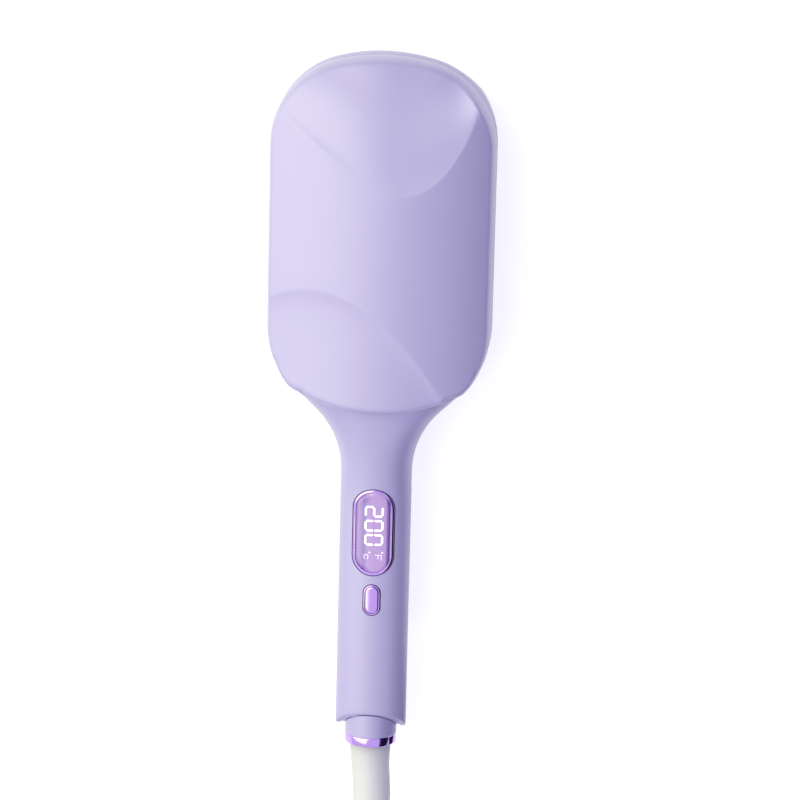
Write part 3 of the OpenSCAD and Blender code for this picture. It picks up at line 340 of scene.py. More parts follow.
def lever_half_w(y):
    if y > NECK_Y:
        return half_w(y) - mix(0.4, 1.1, ease(y, -12, 6)) - tuck(y)
    if y > LEVER_Y + LEVER_ROUND:
        return mix(LEVER_HW, HANDLE_HW - 0.4, ease(y, -62, NECK_Y))
    return LEVER_HW * root(1 - ((LEVER_Y + LEVER_ROUND - y) / (LEVER_ROUND + 0.2)) ** 2)


def spread(n, a, b):
    """n + 1 steps from a to b, close together at both ends."""
    return [mix(a, b, ease(i / n, 0, 1)) for i in range(n + 1)]


def soft(d, width):
    """d where it is positive, 0 where it is negative, with a soft bend between."""
    return (d + math.hypot(d, width)) / 2


def front_lean(x):
    """Share of the front hollow's slope that is left where its crease turns up along the arms."""
    rise = (front_crease(x + 0.5) - front_crease(x - 0.5)) / ARM_LEAN
    return 1 / math.hypot(1.0, rise)


def front_hollow(x, y):
    """Fall of the front hollow below the crown: a soft bend on the left, a crisp one on the right."""
    blur = 0.6 + CREASE_BLUR * ease(x, -28, -8) * (1 - ease(x, -4, 10))
    past = soft(y - front_crease(x), blur)
    near = clip(1 - (front_edge(x) - y) / BROW_W, 0.0, 1.0)
    lip = LEFT_LIP * (1 - ease(x, -28, 2)) * past / LEFT_W * math.exp(1 - past / LEFT_W)
    lip += FRONT_LIP * ease(x, -22, 22) * (1 - math.exp(-past / 5))
    return (FRONT_FALL * past + lip) * front_lean(x) + BROW_D * near**2 * ease(past, 0, BROW_W)


def soft_head_h(x, y):
    """Height of the head's surface, with the creases softened as in the moulding."""
    h = crown(x) - front_hollow(x, y)
    h -= REAR_DEPTH * (1 - math.exp(-soft(rear_crease(x) - y, 1.0) / REAR_FADE))
    h = WALL_H + (h - WALL_H) * roundness(rim_far(x, y), RIM_W)
    return h - LIP_R * (1 - roundness(smile_far(x, y), LIP_R))


def seat_h(x, y):
    """Height of a cover's foot: over the neck, or just clear of the parting line."""
    if abs(x) < HEEL_END[0] and y < HEEL_END[1] + COVER_T:
        return neck_surface(x, min(y, HEEL_END[1])) + NECK_SEAT
    return PART_GAP


def half_section(w, h, p, n):
    """Half of a rounded section, w wide to each side and h high, as (x, z, share of the height)."""
    points = []
    for i in range(-n, n + 1):
        a = 90.0 * i / n
        s, k = sin_d(a), max(0.0, cos_d(a)) ** (2 / p)
        points.append((math.copysign(w * abs(s) ** (2 / p), s), h * k, k))
    edge = 0.3
    points[0], points[-1] = (-w, edge, 0.0), (w, edge, 0.0)
    foot = [(w - edge, 0.0, 0.0), (w - 0.3 * edge, 0.3 * edge, 0.0)]
    return [(-x, z, k) for x, z, k in foot] + points + foot[::-1]


# ---------------------------------------------------------------- mesh tools
def link_object(name, data):
    obj = bpy.data.objects.new(name, data)
    bpy.context.scene.collection.objects.link(obj)
    return obj


def new_object(name, points, faces, smooth_angle=SOFT_ANGLE):
    """A mesh object from points in millimetres."""
    mesh = bpy.data.meshes.new(name)
    mesh.from_pydata([tuple(c * MM for c in p) for p in points], [], faces)
    mesh.validate()
    mesh.update()
    for polygon in mesh.polygons:
        polygon.use_smooth = True
    mesh.set_sharp_from_angle(angle=math.radians(smooth_angle))
    return link_object(name, mesh)


def turn_outward(obj):
    """Makes the faces of a closed mesh look outwards."""
    shape = bmesh.new()
    shape.from_mesh(obj.data)
    bmesh.ops.recalc_face_normals(shape, faces=shape.faces)
    if shape.calc_volume(signed=True) < 0:
        bmesh.ops.reverse_faces(shape, faces=shape.faces)
    shape.to_mesh(obj.data)
    shape.free()
    return obj


def edge_loop(rows, cols, first=0):
    """Indices once round the edge of a grid."""
    last = rows * cols - 1
    corner = last - cols + 1
    loop = [*range(cols - 1), *range(cols - 1, last, cols), *range(last, corner, -1), *range(corner, 0, -cols)]
    return [first + k for k in loop]


def shell(name, outer, inner, rings=()):
    """A closed shell between two grids of points, with loops of points between their edges."""
    rows, cols = len(outer), len(outer[0])
    n = rows * cols
    points = [p for row in outer + inner for p in row]
    faces = []
    for first in (0, n):
        for r in range(rows - 1):
            line = range(first + r * cols, first + (r + 1) * cols)
            faces += strip(line, [k + cols for k in line], closed=False)
    loops = [edge_loop(rows, cols)]
    for ring in rings:
        loops.append([len(points) + i for i in range(len(ring))])
        points += ring
    loops.append(edge_loop(rows, cols, n))
    for a, b in zip(loops, loops[1:]):
        faces += strip(a, b)
    return turn_outward(new_object(name, points, faces))


def revolve(name, profile, steps, bend=None):
    """A body turned about the cord's axis, from points (radius, y); bend shifts it sideways along y."""
    rings = []
    for r, y in profile:
        side = bend(y) if bend else 0.0
        rings.append([(x, y, AXIS_Z + z) for x, z in disc(side, 0.0, r, steps)])
    return loft(name, rings, profile[0] != profile[-1], 30)


def wire(name, path, r):
    """A round wire bent along a path that nowhere runs along x."""
    rings = []
    for i, point in enumerate(path):
        before, after = Vector(path[max(0, i - 1)]), Vector(path[min(len(path) - 1, i + 1)])
        run = (after - before).normalized()
        across = (Vector((1, 0, 0)) - run * run.x).normalized()
        up = run.cross(across)
        rings.append([tuple(Vector(point) + a * across + b * up) for a, b in disc(0, 0, r, 10)])
    return loft(name, rings, True, 50)


def prism(points, z0, z1, name="cutter"):
    """A plain prism on plan points, as a cutter or a hidden web."""
    return loft(name, [[(x, y, z) for x, y in points] for z in (z0, z1)], True)


def oblong(x, y, w, l):
    """Corners of a rectangle w across and l along, from the middle of its rear edge."""
    return [(x - w / 2, y), (x + w / 2, y), (x + w / 2, y + l), (x - w / 2, y + l)]


def disc(cx, cy, r, n=48):
    return [(cx + r * cos_d(360 * i / n), cy + r * sin_d(360 * i / n)) for i in range(n)]


def join(objects):
    """Puts several meshes into the first one."""
    first = objects[0]
    shape = bmesh.new()
    for obj in objects:
        shape.from_mesh(obj.data)
    shape.to_mesh(first.data)
    shape.free()
    for obj in objects[1:]:
        bpy.data.objects.remove(obj)
    first.data.set_sharp_from_angle(angle=math.radians(SOFT_ANGLE))
    return first


def strip(a, b, closed=True):
    """Quads between two rows of indices of the same length."""
    n = len(a)
    return [(a[i], a[(i + 1) % n], b[(i + 1) % n], b[i]) for i in range(n if closed else n - 1)]


def loft(name, rings, capped=False, smooth_angle=SOFT_ANGLE):
    """A surface through closed rings of points, each of the same length."""
    n = len(rings[0])
    points = [p for ring in rings for p in ring]
    rows = [[r * n + i for i in range(n)] for r in range(len(rings))]
    faces = [f for a, b in zip(rows, rows[1:]) for f in strip(a, b)]
    if capped:
        faces += [rows[0][::-1], rows[-1]]
    return turn_outward(new_object(name, points, faces, smooth_angle))


def finish_piece(obj, body, slot, material, *nodes):
    """Gives a piece its material and its body, and hides the CAD nodes that it stands for; slot is not used."""
    obj.data.materials.clear()
    obj.data.materials.append(material)
    if nodes:
        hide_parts(*nodes)
    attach(obj, body)


def dress_node(node, material, bevel=0.0):
    """Gives a CAD node a material, and its edges a small bevel that catches the light."""
    obj = NODES[node]
    obj.data.materials.clear()
    obj.data.materials.append(material)
    if bevel:
        edge = obj.modifiers.new("edge", "BEVEL")
        edge.width = bevel * MM
        edge.segments = 2
        edge.limit_method = "ANGLE"
        edge.angle_limit = math.radians(40)
        edge.harden_normals = True


def cut(obj, cutter):
    """Cuts one mesh with another, and removes the cutter."""
    tool = obj.modifiers.new("cut", "BOOLEAN")
    tool.operation = "DIFFERENCE"
    tool.solver = "MANIFOLD"
    tool.object = cutter
    bpy.context.view_layer.update()
    result = obj.evaluated_get(bpy.context.evaluated_depsgraph_get())
    mesh = bpy.data.meshes.new_from_object(result)
    obj.modifiers.clear()
    old = obj.data
    obj.data = mesh
    bpy.data.meshes.remove(old)
    bpy.data.objects.remove(cutter)
    mesh.set_sharp_from_angle(angle=math.radians(SOFT_ANGLE))


def stadium(w, l):
    """Points round a slot shape, w across and l along."""
    straight, n, along = (l - w) / 2, 24, 10
    points = []
    for side, start in ((1, 0.0), (-1, 180.0)):
        for i in range(n + 1):
            a = start + 180.0 * i / n
            points.append((w / 2 * cos_d(a), side * straight + w / 2 * sin_d(a)))
        points += [(-side * w / 2, side * mix(straight, -straight, i / along)) for i in range(1, along)]
    return points


def on_handle(x, y, up):
    """A point over the handle's round top."""
    return (x, y, PARTING + PART_GAP + neck_surface(x, y) + up)


def laid_body(name, w, l, y, profile, capped):
    """A slot-shaped body laid on the handle round a middle at y, from its profile's insets and heights."""
    rings = [[on_handle(px, y + py, up) for px, py in stadium(w - 2 * inset, l - 2 * inset)]
             for inset, up in profile]
    return loft(name, rings, capped, 60)


def add_frame(name, w, l, y, ring, depth, bevel):
    """A frame, ring wide, with a bevelled top."""
    return laid_body(name, w, l, y, [(0.0, -depth), *bevel, (ring, -depth), (0.0, -depth)], False)


def add_dome(name, w, l, y, edge, depth):
    """A block with a rounded edge and an even top."""
    inset, up = edge[-1]
    top = [(mix(inset, w / 2 - 0.02, i / 10), up) for i in range(1, 11)]
    return laid_body(name, w, l, y, [(0.0, -depth), *edge, *top], True)


SEGMENTS = ("abcdef", "bc", "abged", "abgcd", "fgbc", "afgcd", "afgedc", "abc", "abcdefg", "abcdfg")
DEGREE_C = (((0.95, 0.42), (0.72, 0.52), (0.4, 0.52), (0.3, 0.42), (0.3, 0.12), (0.4, 0.0), (0.72, 0.0),
             (0.95, 0.1)),
            ((0.0, 0.62), (0.1, 0.72), (0.0, 0.82), (-0.1, 0.72), (0.0, 0.62)))
DEGREE_F = (((0.3, 0.0), (0.3, 0.75), (0.95, 0.75)), ((0.3, 0.38), (0.78, 0.38)),
            ((0.0, 0.75), (0.1, 0.85), (0.0, 0.95), (-0.1, 0.85), (0.0, 0.75)))


def seven_segment(digit, u, v, w, h):
    """One figure's segments as outlines, u along the reading and v up."""
    half, mid = FIGURE_STROKE / 2, v + h / 2
    bars = {"a": (v + h - half, u, u + w), "g": (mid, u, u + w), "d": (v + half, u, u + w)}
    posts = {"f": (u + half, mid, v + h), "b": (u + w - half, mid, v + h), "e": (u + half, v, mid),
             "c": (u + w - half, v, mid)}
    shapes = []
    for key in SEGMENTS[int(digit)]:
        flat = key in bars
        c, a, b = bars[key] if flat else posts[key]
        a += FIGURE_GAP + (half if flat or key in "ec" else 0)
        b -= FIGURE_GAP + (half if flat or key in "fb" else 0)
        shape = [(a, c), (a + half, c - half), (b - half, c - half), (b, c), (b - half, c + half),
                 (a + half, c + half)]
        shapes.append(shape if flat else [(q, p) for p, q in reversed(shape)])
    return shapes


def cut_at(shape, level, side):
    """The part of a flat outline above (side 1) or below (side -1) a level of v."""
    kept = []
    for (u0, v0), (u1, v1) in zip(shape, shape[1:] + shape[:1]):
        inside, after = side * (v0 - level) >= 0, side * (v1 - level) >= 0
        if inside:
            kept.append((u0, v0))
        if inside != after:
            kept.append((mix(u0, u1, (level - v0) / (v1 - v0)), level))
    return kept


def slices(shape):
    """Narrow strips of a flat outline, which follow the handle's round top."""
    step = 0.5
    low, high = min(v for _, v in shape), max(v for _, v in shape)
    count = max(1, math.ceil((high - low) / step))
    marks = [mix(low, high, i / count) for i in range(count + 1)]
    return [cut_at(cut_at(shape, a, 1), b, -1) for a, b in zip(marks, marks[1:])]


def strokes(paths, u, v, size):
    """Thin strokes along open paths, as short quads."""
    shapes = []
    for path in paths:
        for (a, b), (c, d) in zip(path, path[1:]):
            length = math.hypot(c - a, d - b) or 1.0
            nu, nv = -(d - b) / length * SIGN_STROKE / 2, (c - a) / length * SIGN_STROKE / 2
            a, b, c, d = u + a * size, v + b * size, u + c * size, v + d * size
            shapes.append([(a + nu, b + nv), (a - nu, b - nv), (c - nu, d - nv), (c + nu, d + nv)])
    return shapes


# ---------------------------------------------------------------- finishes
def srgb(r, g, b):
    """A colour written as it shows on screen, 0 to 255, as linear values."""
    values = []
    for c in (r / 255.0, g / 255.0, b / 255.0):
        values.append(c / 12.92 if c <= 0.04045 else ((c + 0.055) / 1.055) ** 2.4)
    return (*values, 1.0)


def set_values(node, values):
    """Puts plain numbers and colours on a node's own sockets."""
    for key, value in values.items():
        node.inputs[key].default_value = value


def add_node(tree, kind, values=None, operation=None):
    """A shader node with its plain values and, where it calculates, its operation."""
    node = tree.nodes.new("ShaderNode" + kind)
    if operation:
        node.operation = operation
    set_values(node, values or {})
    return node


def connect(tree, *links):
    """Links nodes, each link written as (from, output, to, input)."""
    for source, output, target, entry in links:
        tree.links.new(source.outputs[output], target.inputs[entry])


def plain_material(name, values):
    """A material with plain values on the shader's own sockets."""
    material = bpy.data.materials.new(name)
    material.use_nodes = True
    set_values(material.node_tree.nodes["Principled BSDF"], values)
    return material


def moulded_grain_group():
    """Fine moulded grain with a slow drift in tone, on the piece's own coordinates."""
    name = "Moulded grain"
    if name in bpy.data.node_groups:
        return bpy.data.node_groups[name]
    group = bpy.data.node_groups.new(name, "ShaderNodeTree")
    for way, labels in (("INPUT", ("Colour", "Drift", "Grain per metre", "Roughness", "Roughness spread")),
                        ("OUTPUT", ("Colour", "Roughness", "Height"))):
        for label in labels:
            kind = "NodeSocketColor" if label == "Colour" else "NodeSocketFloat"
            group.interface.new_socket(name=label, in_out=way, socket_type=kind)
    inside, out = group.nodes.new("NodeGroupInput"), group.nodes.new("NodeGroupOutput")
    place = add_node(group, "TexCoord")
    fine = add_node(group, "TexNoise", {"Detail": 2})
    slow = add_node(group, "TexNoise", {"Scale": 28, "Detail": 3})
    tone = add_node(group, "Math", {2: 0.98}, "MULTIPLY_ADD")
    shade = add_node(group, "VectorMath", operation="SCALE")
    centred = add_node(group, "Math", {1: 0.5}, "SUBTRACT")
    rough = add_node(group, "Math", operation="MULTIPLY_ADD")
    connect(group, (place, "Object", fine, "Vector"), (place, "Object", slow, "Vector"),
            (inside, "Grain per metre", fine, "Scale"), (slow, "Fac", tone, 0), (inside, "Drift", tone, 1),
            (inside, "Colour", shade, 0), (tone, 0, shade, "Scale"), (fine, "Fac", centred, 0),
            (centred, 0, rough, 0), (inside, "Roughness spread", rough, 1), (inside, "Roughness", rough, 2),
            (shade, 0, out, "Colour"), (rough, 0, out, "Roughness"), (fine, "Fac", out, "Height"))
    return group


def finish(name, colour, roughness, spread, drift, grain, bump, shader):
    """A material with moulded or drawn grain; shader holds plain values for the shader's own sockets."""
    if name in bpy.data.materials:
        return bpy.data.materials[name]
    material = plain_material(name, shader)
    material.diffuse_color = colour
    tree = material.node_tree
    principled = tree.nodes["Principled BSDF"]
    grains = add_node(tree, "Group")
    grains.node_tree = moulded_grain_group()
    set_values(grains, {"Colour": colour, "Drift": drift, "Grain per metre": grain, "Roughness": roughness,
                        "Roughness spread": spread})
    relief = add_node(tree, "Bump", {"Distance": bump * MM, "Strength": 1.0})
    connect(tree, (grains, "Colour", principled, "Base Color"), (grains, "Roughness", principled, "Roughness"),
            (grains, "Height", relief, "Height"), (relief, "Normal", principled, "Normal"))
    return material


# Name, colour on screen (none where the panel has it), roughness and its spread, drift in tone,
# grain per metre, bump in mm, the shader's own values
FINISHES = {
    "body": ("Lilac satin shell", None, 0.5, 0.08, 0.03, 2600, 0.006,
             {"Coat Weight": 1.0, "Coat Roughness": 0.45, "Coat IOR": 2.1}),
    "plated": ("Violet plating", None, 0.16, 0.05, 0.08, 900, 0.001, {"Metallic": 1.0}),
    "cord": ("White cord jacket", None, 0.46, 0.08, 0.03, 1800, 0.01,
             {"Subsurface Weight": 1.0, "Subsurface Radius": (1.0, 1.0, 1.0), "Subsurface Scale": 14 * MM}),
    "lens": ("Violet lens", (196, 164, 232), 0.16, 0.03, 0.05, 700, 0.0006,
             {"Coat Weight": 1.0, "Coat Roughness": 0.06}),
    # A dark finish that paints the shadow in the gaps round the frames
    "seal": ("Dark seal", (46, 34, 84), 0.6, 0.08, 0.1, 2200, 0.01, {}),
    "resin": ("Black heat resin", (38, 38, 42), 0.55, 0.08, 0.1, 2200, 0.015, {}),
    "glaze": ("Plum ceramic glaze", (96, 78, 112), 0.22, 0.08, 0.25, 5200, 0.002,
              {"Metallic": 0.35, "Coat Weight": 0.6, "Coat Roughness": 0.12}),
    "steel": ("Drawn steel", (196, 198, 204), 0.3, 0.08, 0.12, 1500, 0.002, {"Metallic": 1.0}),
    "brass": ("Bearing brass", (206, 168, 92), 0.34, 0.08, 0.12, 1500, 0.002, {"Metallic": 1.0}),
    "ceramic": ("Heater ceramic", (226, 222, 212), 0.7, 0.08, 0.1, 4000, 0.02, {}),
    "board": ("Board lacquer", (26, 92, 58), 0.35, 0.08, 0.2, 1200, 0.004, {}),
}


def chosen(key):
    """A colour from the panel, with its alpha."""
    return (*getattr(bpy.context.scene.waver_colours, key), 1)


def look(key):
    """A material from the list of finishes."""
    name, colour, *numbers = FINISHES[key]
    return finish(name, srgb(*colour) if colour else chosen(key), *numbers)


def lit_finish(name, dimming, strength):
    """A lit mark's finish: the figures' colour, dimmed towards the plating's."""
    tone = tuple(mix(a, b, dimming) for a, b in zip(chosen("figures"), chosen("plated")))
    glow = {"Emission Color": tone, "Emission Strength": strength}
    return finish(name, tone, 0.5, 0.08, 0.02, 3000, 0.008, glow)


def lens_with_painted_reflection():
    """The tinted lens, with a painted reflection in its colour: light violet in the middle and deep at its sides.
    """
    material, reach = look("lens"), 8
    tree = material.node_tree
    if "Tints" in tree.nodes:
        return material
    grains = next(node for node in tree.nodes if node.type == "GROUP")
    place, across = add_node(tree, "TexCoord"), add_node(tree, "SeparateXYZ")
    span = add_node(tree, "MapRange", {"From Min": -reach * MM, "From Max": reach * MM})
    reflection_ramp = add_node(tree, "ValToRGB")
    reflection_ramp.name = "Tints"
    elements = reflection_ramp.color_ramp.elements
    # Painted reflection and shade: light in the middle, darker towards both sides, with a painted paler edge on
    # the left
    reflection_stops = ((-7.0, (178, 150, 216)), (-6.2, (136, 102, 196)), (-4.2, (142, 108, 200)), (-0.8, (210, 176, 238)),
             (5.6, (214, 180, 240)), (6.4, (150, 112, 200)), (7.4, (126, 90, 184)))
    for (x, colour), stop in zip(reflection_stops, [*elements, *(elements.new(0.5) for _ in reflection_stops[2:])]):
        stop.position = (x + reach) / (2 * reach)
        stop.color = srgb(*colour)
    connect(tree, (place, "Object", across, 0), (across, "X", span, "Value"), (span, "Result", reflection_ramp, "Fac"),
            (reflection_ramp, "Color", grains, "Colour"))
    return material


# ---------------------------------------------------------------- user settings
def colour_setting(name, what, colour):
    return bpy.props.FloatVectorProperty(name=name, description=f"Colour of {what}", subtype="COLOR", size=3,
                                         min=0, max=1, default=colour[:3])


class WaverColours(bpy.types.PropertyGroup):
    """Colours of the waver's finishes."""

    body: colour_setting("Shells", "the heads, the handle, the lever and the collar", srgb(185, 177, 226))
    plated: colour_setting("Plating", "the display frame, the button and the end ring", srgb(200, 168, 236))
    cord: colour_setting("Cord", "the cord, its relief and its plug", srgb(238, 238, 238))
    figures: colour_setting("Figures", "the lit figures on the display", (1.0, 1.0, 1.0))


class WaverSizes(bpy.types.PropertyGroup):
    """Sizes of what is dressed over the frame, and strengths of the light."""

    reading: bpy.props.IntProperty(
        name="Reading", description="Temperature that the display shows", default=200, min=0, max=999)
    figure_height: bpy.props.FloatProperty(
        name="Figure height", description="Height of the display's figures",
        default=8.5 * MM, min=4 * MM, max=12 * MM, unit="LENGTH")
    cord_diameter: bpy.props.FloatProperty(
        name="Cord diameter", description="Diameter of the mains cord",
        default=2 * CORD_R * MM, min=5 * MM, max=7 * MM, unit="LENGTH")
    key_power: bpy.props.FloatProperty(
        name="Key light", description="Power of the soft light on the left", default=26.5, min=0, unit="POWER")
    fill_strength: bpy.props.FloatProperty(
        name="Fill", description="Strength of the even light all round", default=0.5, min=0)


# ---------------------------------------------------------------- operators
def seen_ray(tree):
    """A node that says 1 for what the camera and glossy finishes see, and 0 for light that is shed."""
    path, seen = add_node(tree, "LightPath"), add_node(tree, "Math", operation="MAXIMUM")
    connect(tree, (path, "Is Camera Ray", seen, 0), (path, "Is Glossy Ray", seen, 1))
    return seen


class WAVER_OT_stage(bpy.types.Operator):
    """Sets up the camera, the pale floor and the studio light"""

    bl_idname = "waver.stage"
    bl_label = "Studio"

    def execute(self, context):
        scene = context.scene
        self.add_camera(scene)
        scene.view_settings.view_transform = "Standard"
        self.add_floor()
        self.add_key(scene.waver_sizes.key_power)
        self.add_flag()
        self.add_world(scene, scene.waver_sizes.fill_strength)
        return {"FINISHED"}

    def add_camera(self, scene):
        flat = cos_d(VIEW_LEAN)
        out = Vector((sin_d(VIEW_SIDE) * flat, sin_d(VIEW_LEAN), cos_d(VIEW_SIDE) * flat))
        up = (Vector((0, 1, 0)) - out * out.y).normalized()
        right = up.cross(out)
        up, right = (cos_d(VIEW_ROLL) * up + sin_d(VIEW_ROLL) * right,
                     cos_d(VIEW_ROLL) * right - sin_d(VIEW_ROLL) * up)
        data = bpy.data.cameras.new("Camera")
        data.sensor_width = 36.0
        data.lens = data.sensor_width * VIEW_DISTANCE / VIEW_WIDTH
        data.shift_x = (FRAME_PX / 2 - AIM_PX[0]) / FRAME_PX
        data.shift_y = (AIM_PX[1] - FRAME_PX / 2) / FRAME_PX
        data.clip_start = 0.05
        camera = link_object("Camera", data)
        place = Matrix((right, up, out)).transposed().to_4x4()
        place.translation = Vector(VIEW_AIM) * MM + out * VIEW_DISTANCE
        camera.matrix_world = place
        scene.camera = camera

    def add_key(self, power):
        """The large soft light on the left; its tint takes the fill's blue out of the lit sides."""
        data = bpy.data.lights.new("Key", "AREA")
        data.size = 2.2
        data.energy = power
        data.color = (0.985, 1.0, 0.66)
        light = link_object("Key", data)
        light.location = (-0.9, 0.35, 1.1)
        aim = Vector((0, 0.03, 0.03)) - light.location
        light.rotation_euler = aim.to_track_quat("-Z", "Y").to_euler()

    def add_world(self, scene, fill):
        """An even, faintly cool fill, which glossy finishes see as a white room."""
        world = scene.world = bpy.data.worlds.new("Studio")
        world.use_nodes = True
        tree = world.node_tree
        seen = seen_ray(tree)
        level = add_node(tree, "MapRange", {"To Min": fill, "To Max": 1.0})
        tint = add_node(tree, "Mix")
        tint.data_type = "RGBA"
        shed, room, mixed = 6, 7, 2  # the node's colour sockets, two in and one out
        set_values(tint, {shed: (0.64, 0.6, 1.0, 1), room: (0.86, 0.83, 1.0, 1)})
        sky = tree.nodes["Background"]
        connect(tree, (seen, 0, level, "Value"), (level, "Result", sky, "Strength"), (seen, 0, tint, 0),
                (tint, mixed, sky, "Color"))

    def add_flag(self):
        """Dark cards on the right, seen only in reflections, that give the plating its dark edge."""
        far, near, low, high, reach = 900.0, 45.0, 1.0, 860.0, 1500.0
        back, front = -240.0, -145.0
        points = [(far, -reach, low), (far, reach, low), (far, reach, high), (far, -reach, high),
                  (near, back, low), (far, back, low), (far, front, low), (near, front, low)]
        flag = new_object("Dark_flag", points, [(0, 1, 2, 3), (4, 5, 6, 7)])
        flag.visible_camera = flag.visible_diffuse = flag.visible_shadow = flag.visible_transmission = False
        flag.data.materials.append(plain_material("Dark card", {
            "Base Color": srgb(30, 22, 60), "Roughness": 1.0, "Specular IOR Level": 0.0}))

    def add_floor(self):
        """A pale floor that glows where it is seen, so that it shows white under soft shadows."""
        reach, glow = 3000.0, 0.75
        corners = [(x, y, 0) for x, y in oblong(0, -reach, 2 * reach, 2 * reach)]
        floor = new_object("Floor", corners, [(0, 1, 2, 3)])
        material = plain_material("Pale floor", {
            "Base Color": (0.6, 0.6, 0.6, 1), "Roughness": 0.9, "Specular IOR Level": 0.1,
            "Emission Color": (1, 1, 1, 1)})
        tree = material.node_tree
        shine = add_node(tree, "Math", {1: glow}, "MULTIPLY")
        connect(tree, (seen_ray(tree), 0, shine, 0),
                (shine, 0, tree.nodes["Principled BSDF"], "Emission Strength"))
        floor.data.materials.append(material)


def coil_point(turn):
    back = COIL_LOOPS / 2 + 0.25
    out_r = COIL_IN_R + COIL_PITCH * back
    r = COIL_IN_R + COIL_PITCH * abs(turn - back)
    z = LIE_Z + LAYER_UP * ease(turn, COIL_LOOPS / 2, COIL_LOOPS / 2 + 0.5)
    return (-out_r + r * cos_d(360 * turn), EXIT_Y + COIL_START - r * sin_d(360 * turn), z)


def cord_route():
    """Points along the cord, from the strain relief to the plug."""
    coil = [coil_point(i / COIL_STEPS) for i in range(COIL_LOOPS * COIL_STEPS + 1)]
    end = coil[-1]
    drop = PLUG_Z - end[2]
    tail = ((-6, 0), (-12, -0.3), (-18, -0.9), (-26, -2), (-34, -2.9), (-40, drop), (-46, drop))
    return ([(0, EXIT_Y + y, z) for y, z in LEAD] + [(coil[0][0], coil[0][1] + 6, LIE_Z)] + coil
            + [(end[0], end[1] + y, end[2] + z) for y, z in tail])


class WAVER_OT_cord(bpy.types.Operator):
    """Lays the mains cord, its tie and its plug"""

    bl_idname = "waver.cord"
    bl_label = "Cord"

    def execute(self, context):
        jacket, route = look("cord"), cord_route()
        diameter = context.scene.waver_sizes.cord_diameter
        curve = bpy.data.curves.new("Cord", "CURVE")
        curve.dimensions = "3D"
        curve.bevel_depth = diameter / 2
        curve.bevel_resolution = curve.resolution_u = 3
        curve.use_fill_caps = True
        spline = curve.splines.new("BEZIER")
        spline.bezier_points.add(len(route) - 1)
        for point, spot in zip(spline.bezier_points, route):
            point.co = Vector(spot) * MM
            point.handle_left_type = point.handle_right_type = "AUTO"
        cord = link_object("Mains_cord", curve)
        finish_piece(cord, "handle", "cord", jacket, "cord_lead", "cord_coil")
        pieces = (("cord_tie", jacket, 0.2), ("plug_body", jacket, 1.2), ("plug_pins", look("steel"), 0.2))
        for piece in pieces:
            dress_node(*piece)
        return {"FINISHED"}


class WAVER_OT_heads(bpy.types.Operator):
    """Builds the two sculpted head covers"""

    bl_idname = "waver.heads"
    bl_label = "Head covers"

    def execute(self, context):
        material = look("body")
        for name, body, node, side in (("Upper_head", "handle", "upper_head_cover", 1),
                                       ("Lower_head", "lower_jaw", "lower_head_cover", -1)):
            finish_piece(self.add_cover(name, side), body, "body", material, node)
        return {"FINISHED"}

    def add_cover(self, name, side):
        """A cover: its sculpted surface, a rounded foot and the inside of its wall."""
        n = 40
        columns = [HALF_W * sin_d(90 * i / n) for i in range(-n, n + 1)]
        spans = []
        for x in columns:
            top, low = front_edge(x), rear_edge(x)
            a = min(front_crease(x), top - 8)
            b = max(rear_crease(x), low + 8)
            spans.append(spread(38, top, a) + spread(28, a, b)[1:] + spread(26, b, low)[1:])
        rows = len(spans[0])
        limit = PARTING if side < 0 else 2 * CROWN_H
        outer = [[(x, ys[r], min(limit, soft_head_h(x, ys[r]))) for x, ys in zip(columns, spans)]
                 for r in range(rows)]
        inner = []
        for row in outer:
            inner.append([])
            for (x, y, z), ys in zip(row, spans):
                mid, length = (ys[0] + ys[-1]) / 2, ys[0] - ys[-1]
                inner[-1].append((x * (1 - COVER_T / HALF_W), mid + (y - mid) * (1 - 2 * COVER_T / length),
                                  z - COVER_T))
        rings = self.foot_rings(outer, inner)

        def placed(rows):
            return [[(x, y, PARTING + side * z) for x, y, z in row] for row in rows]

        return shell(name, placed(outer), placed(inner), placed(rings))

    def foot_rings(self, outer, inner):
        """Loops from the wall's outside round its foot to its inside."""
        rows, cols = len(outer), len(outer[0])
        loop, edge, rings = edge_loop(rows, cols), 0.5, [[], [], [], []]
        flat = [[p for row in grid for p in row] for grid in (outer, inner)]
        outside, inside = ([points[k] for k in loop] for points in flat)
        for i, (k, (x, y, _), (ix, iy, _)) in enumerate(zip(loop, outside, inside)):
            (ax, ay, _), (bx, by, _) = outside[i - 1], outside[(i + 1) % len(loop)]
            length = math.hypot(bx - ax, by - ay) or 1.0
            nx, ny = (by - ay) / length, -(bx - ax) / length
            if nx * x + ny * (y - HEAD_MID_Y) > 0:
                nx, ny = -nx, -ny
            on_neck = k >= (rows - 1) * cols
            if on_neck and abs(x) < HEEL_END[0]:
                nx, ny = 0.0, 1.0
            foot, end = (seat_h(*p) if on_neck else PART_GAP for p in ((x, y), (ix, iy)))
            for ring, share, up in zip(rings, (0.0, 0.3, 1.0), (1.0, 0.3, 0.0)):
                ring.append((x + share * edge * nx, y + share * edge * ny, foot + up * edge))
            rings[3].append((ix, iy, end))
        return rings


